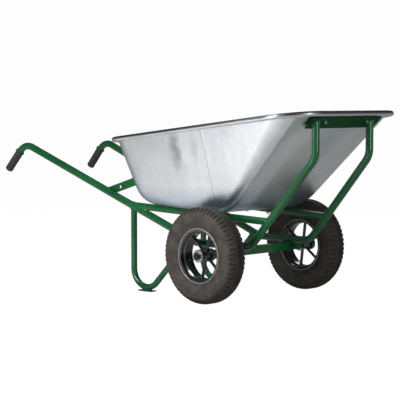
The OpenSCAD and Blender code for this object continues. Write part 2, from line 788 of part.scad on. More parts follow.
// Drilled plates set into the beam's ends, which hold the axle
module beam_plates() {
    inside = beam_side - 2 * beam_wall;
    color(PAINT) for (side = SIDES)
        from_axle() translate([0, side * (beam_half - beam_plate_t / 2), axle_z]) difference() {
            cube([inside, beam_plate_t, inside], center = true);
            rotate([90, 0, 0]) cylinder(h = beam_plate_t + over, d = axle_d, center = true);
        }
}

module axle() {
    color(PAINT) from_axle() translate([0, 0, axle_z]) rotate([90, 0, 0])
        cylinder(h = 2 * axle_half, d = axle_d, center = true);
}

// Sets what follows on the axle, with Z outward from the middle of the barrow
module on_axle(side, station) {
    from_axle() translate([0, side * station, axle_z]) rotate([-90 * side, 0, 0]) children();
}

module axle_collars() {
    color(PAINT) for (side = SIDES)
        on_axle(side, beam_half) ring(collar_t, collar_d, axle_d);
}

module axle_washers() {
    color(ZINC) for (side = SIDES)
        on_axle(side, washer_inner) ring(axle_washer_t, axle_washer_d, axle_d);
}

module axle_nuts() {
    color(PAINT) for (side = SIDES)
        on_axle(side, nut_inner) hex_nut(axle_nut_af, axle_nut_h, axle_d);
}

module floor_bolts() {
    color(ZINC) at_floor_bolts() pan_bolt(rail_d);
}

module floor_nuts() {
    color(ZINC) at_floor_bolts() pan_nut(rail_d);
}

module nose_bolts() {
    color(ZINC) at_nose_bolts() pan_bolt(nose_t);
}

module nose_nuts() {
    color(ZINC) at_nose_bolts() pan_nut(nose_t);
}

module strap_bolts() {
    color(ZINC) at_strap_bolts() pan_bolt(strap_t);
}

module strap_nuts() {
    color(ZINC) at_strap_bolts() pan_nut(strap_t);
}

// Half section of the rim on the tyre's side, from the middle out: [radius, distance from the middle]
rim_half = rim_w / 2;
well_run_share = 0.7;
well_slope = well_depth * well_run_share;
flange_lean = 2;
rim_line = [
    [well_r, well_half],
    [seat_r, well_half + well_slope],
    [seat_r, rim_half],
    [flange_r, rim_half + flange_lean]
];
hub_line = [
    [barrel_r, well_half + rim_t / 2],
    [seat_r - rim_t, well_half + well_slope + rim_t / 2],
    [seat_r - rim_t, rim_half + rim_t],
    [flange_r, rim_half + flange_lean + rim_t]
];
lip_share = 0.9;
lip_r = rim_t * lip_share;

function mirrored(p) = [for (q = p) [q[0], -q[1]]];
function reversed(p) = [for (i = [len(p) - 1 : -1 : 0]) p[i]];

// The rim's outer line closed down to the axle: what the tyre has to clear
module rim_core() {
    end = rim_half + flange_lean;
    polygon(concat([[0, end]], reversed(rim_line), mirrored(rim_line), [[0, -end]]));
}

// Rolled steel rim: middle well, bead seats, side flanges and rolled lips
module rim(side) {
    sheet = concat(reversed(rim_line), mirrored(rim_line), reversed(mirrored(hub_line)), hub_line);
    lip_y = rim_half + flange_lean + rim_t / 2 + lip_r / 3;
    color(BLACK) at_wheel(side) difference() {
        union() {
            rotate_extrude() polygon(sheet);
            for (y = [-lip_y, lip_y]) rotate_extrude() translate([flange_r, y]) circle(r = lip_r);
        }
        valve_place(side) cylinder(h = seat_r, d = valve_d + 2 * bolt_clearance);
    }
}

// Flat bars from the hub to the rim's well
module spokes(side) {
    color(BLACK) at_wheel(side) for (i = [0 : spoke_count - 1])
        rotate([0, 0, phase(side) + 360 * i / spoke_count])
            translate([0, 0, -spoke_inset]) intersection() {
                difference() {
                    translate([0, -spoke_t / 2, -spoke_depth / 2])
                        cube([well_r, spoke_t, spoke_depth]);
                    cylinder(h = 2 * spoke_depth, d = hub_d, center = true);
                }
                translate([0, 0, spoke_inset]) spoke_room();
            }
}

function phase(side) = side == RIGHT ? right_phase : left_phase;

// The space inside the rim's well, which the spokes' ends fit
module spoke_room() {
    room = [
        [0, well_half + well_slope + rim_t / 2],
        [seat_r - rim_t, well_half + well_slope + rim_t / 2],
        [barrel_r, well_half + rim_t / 2]
    ];
    rotate_extrude() polygon(concat(room, reversed(mirrored(room))));
}

// Hub tube with a cup at each end for a bearing
cup_len = bearing_recess + bearing_w + cup_wall;

module hub(side) {
    seat_len = bearing_recess + bearing_w;
    bore_d = hub_d - 2 * cup_wall;
    color(BLACK) at_wheel(side) translate([0, 0, -hub_len / 2]) difference() {
        union() {
            cylinder(h = hub_len, d = hub_d);
            cylinder(h = cup_len, d = cup_d);
            translate([0, 0, hub_len - cup_len]) cylinder(h = cup_len, d = cup_d);
        }
        translate([0, 0, -over]) cylinder(h = hub_len + 2 * over, d = bore_d);
        translate([0, 0, -over]) cylinder(h = seat_len + over, d = bearing_d);
        translate([0, 0, hub_len - seat_len]) cylinder(h = seat_len + over, d = bearing_d);
        nipple_place(side) cylinder(h = hub_d, d = nipple_neck_d);
    }
}

module bearings(side) {
    inset = hub_len / 2 - bearing_recess;
    color(ZINC) at_wheel(side) for (z = [-inset, inset - bearing_w])
        translate([0, 0, z]) ring(bearing_w, bearing_d, axle_d + 2 * axle_clearance);
}

// Grease nipple screwed into the hub: Z runs out from the hub's middle line
nipple_offset = hub_len / 2 - cup_len - nipple_d;
nipple_neck_d = nipple_d - 2;

module nipple_place(side) {
    translate([0, 0, hub_len / 2 + nipple_offset])
        rotate([0, 90, phase(side) + 180 / spoke_count]) children();
}

module grease_nipple(side) {
    seat = hub_d / 2;
    color(ZINC) at_wheel(side) translate([0, 0, -hub_len / 2]) nipple_place(side) {
        translate([0, 0, seat - cup_wall]) cylinder(h = cup_wall + over, d = nipple_neck_d);
        translate([0, 0, seat]) cylinder(h = nipple_h / 2, d = nipple_d, $fn = 6);
        translate([0, 0, seat + nipple_h / 2]) cylinder(h = nipple_h / 2, d = nipple_neck_d);
    }
}

// Section of the tyre: shoulders, side walls, belly and beads, hollow for the inner tube
side_run = 16;
belly_inset = 4;
belly_at = tyre_r - shoulder_r - side_run;
belly_r = tyre_half - belly_inset;
bead_toe = 3;
bead_gap = well_half + bead_toe;

module tyre_section() {
    shoulder_y = tyre_half - shoulder_r;
    difference() {
        union() {
            for (y = [-shoulder_y, shoulder_y]) translate([tyre_r - shoulder_r, y]) circle(r = shoulder_r);
            translate([belly_at, -shoulder_y]) square([tyre_r - belly_at, 2 * shoulder_y]);
            translate([belly_at, -tyre_half]) square([side_run, tyre_w]);
            for (y = [-1, 1]) translate([belly_at, y * belly_inset]) circle(r = belly_r);
            translate([seat_r, -rim_half]) square([belly_at - seat_r, rim_w]);
        }
        translate([inner_tube_at, 0]) circle(r = inner_tube_r);
        translate([0, -bead_gap]) square([inner_tube_at, 2 * bead_gap]);
        rim_core();
    }
}

// Cut between two lugs: a band of the shoulder's curve, from the tread down to the side wall
lug_top = 16;
lug_foot = 66;

module lug_cut() {
    lug_pitch = PI * tyre_d / lug_count;
    from = lug_top;
    to = lug_foot;
    reach = shoulder_r + lug_depth;
    rotate([90, 0, 0]) translate([0, 0, -lug_pitch * lug_gap / 2]) linear_extrude(lug_pitch * lug_gap)
        translate([tyre_r - shoulder_r, tyre_half - shoulder_r]) difference() {
            polygon([[0, 0], [reach / cos(to - from) * cos(from), reach / cos(to - from) * sin(from)],
                reach * sqrt(2) * [cos((from + to) / 2), sin((from + to) / 2)],
                [reach / cos(to - from) * cos(to), reach / cos(to - from) * sin(to)]]);
            circle(r = shoulder_r - lug_depth);
        }
}

tread_share = 0.6;

module tyre(side) {
    tread_line = (tyre_half - shoulder_r) * tread_share;
    color(RUBBER) at_wheel(side) difference() {
        rotate_extrude() tyre_section();
        rotate_extrude() for (y = [-1, 1])
            translate([tyre_r - groove_depth, y * tread_line - groove_w / 2]) square([crown_t, groove_w]);
        for (i = [0 : lug_count - 1]) {
            rotate([0, 0, 360 * i / lug_count]) lug_cut();
            rotate([0, 0, 360 * (i + 0.5) / lug_count]) mirror([0, 0, 1]) lug_cut();
        }
    }
}

module inner_tube(side) {
    color(BLACK) at_wheel(side) rotate_extrude() translate([inner_tube_at, 0]) difference() {
        circle(r = inner_tube_r);
        circle(r = inner_tube_r - tube_rubber);
    }
}

// Valve stem from the inner tube in through the rim: Z runs out along the stem
module valve_place(side) {
    rotate([0, 90, phase(side) + 360 * (valve_gap(side) + 0.5) / spoke_count]) children();
}

function valve_gap(side) = side == RIGHT ? right_valve_gap : left_valve_gap;

module valve(side) {
    color(BLACK) at_wheel(side) difference() {
        valve_place(side) translate([0, 0, valve_tip_r])
            cylinder(h = inner_tube_at - inner_tube_r / 2 - valve_tip_r, d = valve_d);
        rotate_extrude() translate([inner_tube_at, 0]) circle(r = inner_tube_r);
    }
}

module valve_cap(side) {
    color(BLACK) at_wheel(side) valve_place(side) translate([0, 0, valve_tip_r - valve_cap_len]) {
        cylinder(h = valve_cap_len, d = valve_cap_d, $fn = 10);
    }
}

pan();
frame_tube(RIGHT);  // frame_tube_right
frame_tube(LEFT);  // frame_tube_left
bed_rail(RIGHT);  // bed_rail_right
bed_rail(LEFT);  // bed_rail_left
leg(RIGHT);  // leg_right
leg(LEFT);  // leg_left
foot_skid(RIGHT);  // foot_skid_right
foot_skid(LEFT);  // foot_skid_left
grip(RIGHT);  // grip_right
grip(LEFT);  // grip_left
nose_strip();
rear_strap();
axle_beam();
beam_plates();
axle();
axle_collars();
axle_washers();
axle_nuts();
floor_bolts();
floor_nuts();
nose_bolts();
nose_nuts();
strap_bolts();
strap_nuts();
tyre(RIGHT);  // tyre_right
tyre(LEFT);  // tyre_left
inner_tube(RIGHT);  // inner_tube_right
inner_tube(LEFT);  // inner_tube_left
rim(RIGHT);  // rim_right
rim(LEFT);  // rim_left
spokes(RIGHT);  // spokes_right
spokes(LEFT);  // spokes_left
hub(RIGHT);  // hub_right
hub(LEFT);  // hub_left
bearings(RIGHT);  // bearings_right
bearings(LEFT);  // bearings_left
valve(RIGHT);  // valve_right
valve(LEFT);  // valve_left
valve_cap(RIGHT);  // valve_cap_right
valve_cap(LEFT);  // valve_cap_left
grease_nipple(RIGHT);  // grease_nipple_right
grease_nipple(LEFT);  // grease_nipple_left
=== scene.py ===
"""Looks of a garden wheelbarrow with two wheels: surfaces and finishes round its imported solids, in metres."""
import json

import bpy
import numpy as np
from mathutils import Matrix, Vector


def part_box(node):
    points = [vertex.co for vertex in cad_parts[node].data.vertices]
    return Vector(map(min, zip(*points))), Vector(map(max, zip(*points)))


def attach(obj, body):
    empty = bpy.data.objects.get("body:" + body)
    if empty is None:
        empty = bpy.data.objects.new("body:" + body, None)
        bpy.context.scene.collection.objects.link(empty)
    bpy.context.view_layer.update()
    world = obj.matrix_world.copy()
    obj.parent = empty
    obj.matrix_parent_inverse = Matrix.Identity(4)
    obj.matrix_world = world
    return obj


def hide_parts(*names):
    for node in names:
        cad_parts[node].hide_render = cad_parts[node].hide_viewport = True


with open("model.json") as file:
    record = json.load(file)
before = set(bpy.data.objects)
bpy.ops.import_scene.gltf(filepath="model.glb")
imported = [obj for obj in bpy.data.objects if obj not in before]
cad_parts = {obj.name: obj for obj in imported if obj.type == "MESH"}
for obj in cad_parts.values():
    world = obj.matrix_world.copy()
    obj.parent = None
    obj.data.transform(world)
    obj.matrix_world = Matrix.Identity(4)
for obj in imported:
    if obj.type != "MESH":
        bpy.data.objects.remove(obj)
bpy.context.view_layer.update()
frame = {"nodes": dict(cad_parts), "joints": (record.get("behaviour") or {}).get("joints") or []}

# Frame: two bent steel tubes, the bed rails, the legs with their wear plates, and the flat bars across.
# All are welded up into one frame, which is then dipped in green gloss enamel.
# The nose strip, in the shade of the pan's edge, has lost its gloss, and its darker green is painted shade.


def add(tree, kind, inputs=(), **settings):
    """One shader node with its settings; an input that is a socket gets a link, any other a value."""
    made = tree.nodes.new("ShaderNode" + kind)
    for key, value in settings.items():
        setattr(made, key, value)
    for key, value in dict(inputs).items():
        if isinstance(value, bpy.types.NodeSocket):
            tree.links.new(value, made.inputs[key])
        else:
            made.inputs[key].default_value = value
    return made


def effect(name, inputs, outputs):
    """An empty node group with float or colour sockets: its tree, its inputs and its output node."""
    kinds = {float: "NodeSocketFloat", tuple: "NodeSocketColor"}
    tree = bpy.data.node_groups.new(name, "ShaderNodeTree")
    for key, value in inputs.items():
        made = tree.interface.new_socket(key, in_out="INPUT", socket_type=kinds[type(value)])
        made.default_value = value
    for key, kind in outputs.items():
        tree.interface.new_socket(key, in_out="OUTPUT", socket_type=kinds[kind])
    return tree, tree.nodes.new("NodeGroupInput").outputs, tree.nodes.new("NodeGroupOutput").inputs


def blend(tree, share, a, b):
    """Colour a where share is 0, colour b where it is 1."""
    return add(tree, "Mix", {0: share, 6: a, 7: b}, data_type="RGBA").outputs[2]


def band(tree, value, low, high, to_low=0.0, to_high=1.0):
    """A value carried from one range to another, held at the ends."""
    return add(tree, "MapRange", {0: value, 1: low, 2: high, 3: to_low, 4: to_high}).outputs[0]


def sums(tree, kind, a, b, clamp=False):
    """Two values added, subtracted, multiplied or compared."""
    return add(tree, "Math", {0: a, 1: b}, operation=kind, use_clamp=clamp).outputs[0]


def noise(tree, place, scale, detail=3.0, rough=0.55):
    """Cloudy noise over a place, from 0 to 1."""
    made = add(tree, "TexNoise", {"Vector": place, "Scale": scale, "Detail": detail, "Roughness": rough})
    return made.outputs["Fac"]


def enamel_effect():
    """Dipped or sprayed enamel: broad drift of shade, orange peel in the height, small chips down to steel,
    and paint rubbed off near the ground and where the Rubbed mask says; that mask can also carry a painted
    highlight."""
    tree, given, out = effect(
        "enamel_coat",
        {"Paint": (0.1, 0.1, 0.1, 1.0), "Steel": (0.2, 0.2, 0.2, 1.0),
         "Chips": 0.1, "Gloss": 0.2, "Rubbed": 0.0},
        {"Colour": tuple, "Roughness": float, "Metal": float, "Height": float})
    thin, soil = (0.62, 0.66, 0.64, 1.0), (0.34, 0.33, 0.29, 1.0)
    chip_start, chip_full, worn_height = 0.86, 0.88, 0.035
    place = add(tree, "TexCoord").outputs["Object"]
    drift = noise(tree, place, 5.0, 4.0)
    dust = noise(tree, place, 38.0, 5.0, 0.65)
    peel = noise(tree, place, 420.0, 2.0)
    speck = noise(tree, place, 150.0, 4.0, 0.7)
    dark = add(tree, "Mix", {0: 1.0, 6: given["Paint"], 7: thin},
               data_type="RGBA", blend_type="MULTIPLY").outputs[2]
    shade = blend(tree, band(tree, drift, 0.35, 0.7), dark, given["Paint"])
    dusty = blend(tree, band(tree, dust, 0.58, 0.85, 0.0, 0.05), shade, soil)
    height = add(tree, "SeparateXYZ", {0: place}).outputs["Z"]
    start = band(tree, height, 0.0, worn_height, 0.58, chip_start)
    chipped = band(tree, speck, sums(tree, "SUBTRACT", start, given["Chips"]), chip_full)
    rubbed_and_highlight = sums(tree, "MULTIPLY", given["Rubbed"], band(tree, dust, 0.3, 0.6, 0.8, 1.0))
    bare = sums(tree, "MAXIMUM", chipped, rubbed_and_highlight)
    tree.links.new(blend(tree, bare, dusty, given["Steel"]), out["Colour"])
    dull = sums(tree, "ADD", band(tree, dust, 0.3, 0.8, 0.0, 0.14), given["Gloss"])
    tree.links.new(sums(tree, "ADD", dull, band(tree, bare, 0.0, 1.0, 0.0, 0.12)), out["Roughness"])
    tree.links.new(band(tree, bare, 0.3, 1.0, 0.0, 0.9), out["Metal"])
    tree.links.new(sums(tree, "SUBTRACT", peel, bare), out["Height"])
    return tree


enamel_coat = enamel_effect()


def finish(name, cover, values):
    """A material whose colour, roughness, metal and height come from a shared effect with its own values."""
    made = bpy.data.materials.new(name)
    made.use_nodes = True
    tree = made.node_tree
    shader = tree.nodes["Principled BSDF"]
    face = add(tree, "Group", node_tree=cover)
    for key, value in values.items():
        face.inputs[key].default_value = (*value, 1.0) if isinstance(value, tuple) else value
    tree.links.new(face.outputs["Colour"], shader.inputs["Base Color"])
    tree.links.new(face.outputs["Roughness"], shader.inputs["Roughness"])
    bump = add(tree, "Bump", {"Height": face.outputs["Height"]})
    tree.links.new(bump.outputs[0], shader.inputs["Normal"])
    return made, tree, shader, face, bump


def enamel(name, paint, steel, chips, gloss, shine, coat):
    """A finish of enamel with its own shine, under a thin clear gloss."""
    values = {"Paint": paint, "Steel": steel, "Chips": chips, "Gloss": gloss}
    made, tree, shader, face, bump = finish(name, enamel_coat, values)
    tree.links.new(face.outputs["Metal"], shader.inputs["Metallic"])
    bump.inputs["Strength"].default_value = 0.02
    bump.inputs["Distance"].default_value = 0.0006
    shader.inputs["Specular IOR Level"].default_value = shine
    shader.inputs["Coat Weight"].default_value = coat
    shader.inputs["Coat Roughness"].default_value = 0.05
    return made, tree, face


both = ("right", "left")


def pairs(*parts):
    """The names of pieces that come in twos, for both sides."""
    return [f"{part}_{side}" for part in parts for side in both]


def dress(names, material):
    """Gives solids of the frame a finish."""
    for name in names:
        frame["nodes"][name].data.materials.clear()
        frame["nodes"][name].data.materials.append(material)


bare_steel = (0.16, 0.17, 0.16)
green_enamel = enamel("green_enamel", paint=(0.0085, 0.100, 0.032), steel=bare_steel,
                      chips=0.05, gloss=0.15, shine=0.15, coat=0.65)[0]
# A darker green for the nose strip: painted shade.
strip_shade_enamel = enamel("worn_green_enamel", paint=(0.005, 0.047, 0.013), steel=bare_steel,
                     chips=0.05, gloss=0.34, shine=0.04, coat=0.0)[0]
dress(pairs("frame_tube", "bed_rail", "leg", "foot_skid"), green_enamel)
dress(["rear_strap", "beam_plates", "axle_collars"], green_enamel)
dress(["nose_strip"], strip_shade_enamel)

# Welds: rails and legs are coped to the frame tubes, the tubes sit on the beam and end on the nose strip.
# A bead of weld runs round each joint, under the same paint.


def skin(name, grids, material, body, round_rows=False, ends=False, crisp=0.6):
    """A mesh over one grid of points, or over a stack of like grids: quads between neighbours, closed round
    each row and, where asked, from the last row to the first, with a fan to the middle of the first and last
    row where the ends are closed. Each grid is turned so that its faces look away from its middle, and edges
    sharper than crisp stay sharp."""
    grids = grids.reshape(-1, *grids.shape[-3:])
    count, rows, columns = grids.shape[:3]
    base = np.arange(count)[:, None, None] * rows * columns
    i, j = np.meshgrid(np.arange(rows - 1 + round_rows), np.arange(columns), indexing="ij")
    here, below = i * columns, (i + 1) % rows * columns
    after = (j + 1) % columns
    quads = np.stack([here + j, here + after, below + after, below + j], -1).reshape(1, -1, 4) + base
    local = (grids - grids.mean((1, 2), keepdims=True)).reshape(-1, 3)
    a, b, c, d = (local[quads[..., k]] for k in range(4))
    inside_out = ((np.cross(a, b) * c).sum(-1) + (np.cross(a, c) * d).sum(-1)).sum(1)[:, None, None] < 0
    faces = np.where(inside_out, quads[..., ::-1], quads).reshape(-1, 4).tolist()
    points = grids.reshape(-1, 3)
    if ends:
        middles = np.arange(count)[:, None] * 2 + len(points)
        points = np.vstack([points, grids[:, [0, -1]].mean(2).reshape(-1, 3)])
        first = base[:, 0] + np.arange(columns)
        last = first + (rows - 1) * columns
        heads = np.stack(np.broadcast_arrays(middles, np.roll(first, -1, 1), first), -1)
        tails = np.stack(np.broadcast_arrays(middles + 1, last, np.roll(last, -1, 1)), -1)
        fans = np.concatenate([heads, tails], 1)
        faces += np.where(inside_out, fans[..., ::-1], fans).reshape(-1, 3).tolist()
    mesh = bpy.data.meshes.new(name)
    mesh.from_pydata(points.tolist(), [], faces)
    mesh.shade_smooth()
    mesh.set_sharp_from_angle(angle=crisp)
    mesh.materials.append(material)
    made = bpy.data.objects.new(name, mesh)
    bpy.context.scene.collection.objects.link(made)
    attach(made, body)
    return made


def mark(piece, name, values):
    """Keeps one value for each point of a piece, for its finish to read."""
    row = values.astype(np.float32).ravel()
    piece.data.attributes.new(name, "FLOAT", "POINT").data.foreach_set("value", row)


def unit(v):
    """Vectors of length one."""
    return v / np.linalg.norm(v, axis=-1, keepdims=True)


axle_x, _, axle_z = frame["joints"][0]["pos_m"]
hand = {"right": -1, "left": 1}
toe, side_half = np.radians(2.7), 0.1965
tube_r, rail_r, leg_r = 0.016, 0.015, 0.0135
handle_top, upright_foot, rail_end = (-1.234, 0.633), (0.461912, 0.6075), (-0.537, 0.373975)
around = np.linspace(0, 2 * np.pi, 120, endpoint=False)[:, None]


def in_side(side, fore, height):
    """A point of one side's upright plane, by its distance before the axle in that plane and its height."""
    return np.array([axle_x + fore * np.cos(toe), hand[side] * (side_half - fore * np.sin(toe)), height])


def coped(foot, head, radius, a, b, other):
    """The closed line where a round bar from foot to head leaves a round tube through a and b: at each angle
    round the bar, the far root of the distance to the tube's middle line. Also the sum of both normals."""
    along, line = unit(head - foot), unit(b - a)
    across = unit(np.cross(along, line))
    spoke = np.cos(around) * across + np.sin(around) * np.cross(across, along)
    start = foot + radius * spoke - a
    level = start - (start @ line)[:, None] * line
    lean = along - (along @ line) * line
    square, half = lean @ lean, level @ lean
    far = (np.sqrt(half ** 2 - square * ((level ** 2).sum(1) - other ** 2)) - half) / square
    reach = start + far[:, None] * along
    return a + reach, unit(reach - (reach @ line)[:, None] * line) + spoke


def lying(middle, along, across, half_length, half_width):
    """A rounded loop round the patch where a tube lies on a flat: a power of sine and cosine, looking up."""
    c, s = np.cos(around), np.sin(around)
    loop = middle + half_length * np.sign(c) * np.sqrt(np.abs(c)) * along
    loop = loop + half_width * np.sign(s) * np.sqrt(np.abs(s)) * across
    return loop, np.broadcast_to([0.0, 0.0, 1.0], loop.shape)


def on_strip(side):
    """The ellipse where an upright meets the nose strip's outer face, with the sum of both normals."""
    lean, strip_t, strip_fore, strip_z = np.radians(46.404), 0.006, 0.452698, 0.7385
    face = np.array([np.cos(lean), 0.0, -np.sin(lean)])
    origin = np.array([axle_x + strip_fore, 0.0, strip_z]) + strip_t * face
    spoke = np.concatenate([np.cos(around), np.sin(around), 0 * around], 1)
    ring = in_side(side, upright_foot[0], 0.0) + tube_r * spoke
    ring[:, 2] = origin[2] + (ring[:, 0] - origin[0]) / np.tan(lean)
    return ring, face + spoke


def weld(line, lean):
    """A bead of weld: a circle, swollen by the ripples of its runs, carried round a closed line."""
    radius, swell, ripples, facets = 0.0027, 0.16, 15, 10
    run = unit(np.roll(line, -1, 0) - np.roll(line, 1, 0))
    lean = unit(lean - (lean * run).sum(1)[:, None] * run)
    turn = np.linspace(0, 2 * np.pi, facets, endpoint=False)[None, :, None]
    ring = np.cos(turn) * lean[:, None] + np.sin(turn) * np.cross(run, lean)[:, None]
    size = radius * (1 + swell * np.sin(ripples * around) ** 2)
    return line[:, None] + size[:, None] * ring


def side_welds(side):
    """All the welds of one side, each as a grid of the same size."""
    handle, low_rear = in_side(side, *handle_top), in_side(side, -0.159, 0.2335)
    low_fore, bend = in_side(side, 0.135, 0.2335), in_side(side, *upright_foot)
    rail_rear, rail_fore = in_side(side, *rail_end), in_side(side, 0.230379, 0.342618)
    leg_top, leg_low = in_side(side, -0.525, 0.369516), in_side(side, -0.525, 0.2)
    brace, down = np.array([-0.194, 0.246507]), np.array([0.0694, 0.0720])
    brace_top, brace_low = in_side(side, *brace), in_side(side, *(brace - down))
    along = unit(low_fore - low_rear)
    across = np.cross(along, [0.0, 0.0, 1.0])
    on_beam = in_side(side, 0.0, 0.2193)
    on_skid = in_side(side, -0.447, 0.0064)
    return [weld(*line) for line in (
        coped(rail_rear, rail_fore, rail_r, handle, low_rear, tube_r),
        coped(rail_fore, rail_rear, rail_r, low_fore, bend, tube_r),
        coped(leg_top, leg_low, leg_r, handle, low_rear, tube_r),
        coped(brace_top, brace_low, leg_r, handle, low_rear, tube_r),
        lying(on_beam, along, across, half_length=0.0165, half_width=0.0092),
        lying(on_skid, along, across, half_length=0.0200, half_width=0.0078),
        on_strip(side),
    )]


all_welds = np.array(side_welds("right") + side_welds("left"))
skin("frame_welds", all_welds, green_enamel, "frame", round_rows=True)

# Axle beam: a square steel tube with rounded edges, welded under the low runs of both frame tubes.
# A drilled plate in each end holds the axle.


def rounded(half_a, half_b, radius, steps=6):
    """A closed rectangular section with rounded corners: four quarter turns with straights between them."""
    turn = np.radians(np.linspace(0, 90, steps)) + np.radians([[0], [90], [180], [270]])
    corner = np.array([[1, 1], [-1, 1], [-1, -1], [1, -1]])[:, None]
    round_it = radius * np.stack([np.cos(turn), np.sin(turn)], -1)
    return (corner * [half_a - radius, half_b - radius] + round_it).reshape(-1, 2)


def beam_surface():
    """The section's outer and inner line carried across the barrow, with a small chamfer at each end."""
    wall, edge, outer_r, inner_r = 0.003, 0.0006, 0.0045, 0.0015
    low, high = (np.array(corner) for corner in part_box("axle_beam"))
    half = (high[2] - low[2]) / 2
    outer = rounded(half, half, outer_r)
    inner = rounded(half - wall, half - wall, inner_r)
    chamfer = outer * (1 - edge / half)
    flare = inner * (1 + edge / half)
    stations = [(low[1] + edge, outer), (high[1] - edge, outer), (high[1], chamfer), (high[1], flare),
                (high[1] - edge, inner), (low[1] + edge, inner), (low[1], flare), (low[1], chamfer)]
    return np.array([np.stack([axle_x + line[:, 0], np.full(len(line), y), axle_z + line[:, 1]], 1)
                     for y, line in stations])


beam = skin("beam_tube", beam_surface(), green_enamel, "frame", round_rows=True)
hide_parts("axle_beam")

# Wheels: rolled steel rims with six flat bar spokes welded to a hub, sprayed black.
# The lips of the rims and the ends of the bearing cups show bare steel, partly rubbed bright and partly a
# painted highlight.
half_track = abs(frame["joints"][0]["pos_m"][1])
black_enamel, tree, face = enamel("black_enamel", paint=(0.011, 0.013, 0.017), steel=(0.50, 0.52, 0.55),
                                  chips=0.03, gloss=0.22, shine=0.4, coat=1.0)
place = add(tree, "SeparateXYZ", {0: add(tree, "TexCoord").outputs["Object"]}).outputs
fore = sums(tree, "SUBTRACT", place["X"], axle_x)
over = sums(tree, "SUBTRACT", place["Z"], axle_z)
squares = sums(tree, "ADD", sums(tree, "MULTIPLY", fore, fore), sums(tree, "MULTIPLY", over, over))
# Bare steel on the rim lips and the hub ends: partly rubbed, partly a painted highlight.
lip_wear_and_highlight = band(tree, sums(tree, "SQRT", squares, 0.0), 0.1085, 0.1120, 0.0, 0.55)
outward = sums(tree, "ABSOLUTE", place["Y"], 0.0)
cup_end_wear_and_highlight = band(tree, outward, half_track + 0.0388, half_track + 0.0397, 0.0, 0.45)
tree.links.new(sums(tree, "MAXIMUM", lip_wear_and_highlight, cup_end_wear_and_highlight), face.inputs["Rubbed"])
dress(pairs("rim", "hub"), black_enamel)


def at_wheel(side, radius, angle, out):
    """A point by its radius and angle about the axle and its distance outward from the wheel's middle."""
    x = axle_x + radius * np.cos(angle)
    y = hand[side] * (half_track + out)
    z = axle_z - hand[side] * radius * np.sin(angle)
    return np.stack(np.broadcast_arrays(x, y, z), -1)


def spoke_surfaces(side, phase):
    """A rounded bar section carried from the hub out to the rim's well, once for each spoke: it starts on the
    hub's curve, ends on the well's slope, and swells into a weld at both ends."""
    half_t, half_depth, edge, inset = 0.002, 0.009, 0.0012, 0.012
    hub_r, well_r, well_half, slope_run, slope_rise = 0.0200, 0.0945, 0.01525, 0.0049, 0.007
    bulge, weld_share, deepen, in_hub, in_well = 0.9, 0.03, 0.18, 0.0006, 0.0004
    section = rounded(half_t, half_depth, edge, 4)
    share = np.array([0, 0.02, 0.045, 0.08, 0.2, 0.5, 0.8, 0.92, 0.955, 0.98, 1])[:, None]
    swell = 1 + bulge * np.exp(-(share / weld_share) ** 2) + bulge * np.exp(-((1 - share) / weld_share) ** 2)
    wide = section[:, 0] * swell
    out = section[:, 1] * (1 + (swell - 1) * deepen) - inset
    start = np.sqrt(hub_r ** 2 - np.abs(wide) ** 2) - in_hub
    stop = well_r + np.clip((np.abs(out) - well_half) / slope_run, 0, 1) * slope_rise + in_well
    radius = start + (stop - start) * share
    spokes = []
    for turn in np.radians(phase + 60 * np.arange(6)):
        x = axle_x + radius * np.cos(turn) - wide * np.sin(turn)
        z = axle_z - hand[side] * (radius * np.sin(turn) + wide * np.cos(turn))
        spokes.append(np.stack(np.broadcast_arrays(x, hand[side] * (half_track + out), z), -1))
    return np.array(spokes)


for side, phase in (("right", 17), ("left", 37)):
    spokes = skin(f"spoke_bars_{side}", spoke_surfaces(side, phase), black_enamel, f"wheel_{side}",
                  ends=True)
    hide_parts(f"spokes_{side}")

# Tyres: block tread on the shoulders, zigzag grooves round the crown, rings and a rim guard on the walls.
# Moulded in black rubber that has weathered to a warm grey, and seated on the rim by the air inside.


def arc(middle, radius, start, stop, count):
    """Points on an arc of a section, as [radius, out], from one angle in degrees to another."""
    a = np.radians(np.linspace(start, stop, count))
    return np.stack([middle[0] + radius * np.cos(a), middle[1] + radius * np.sin(a)], 1)


def ramp(value, low, high):
    """A smooth step from 0 at low to 1 at high."""
    t = np.clip((value - low) / (high - low), 0, 1)
    return t * t * (3 - 2 * t)


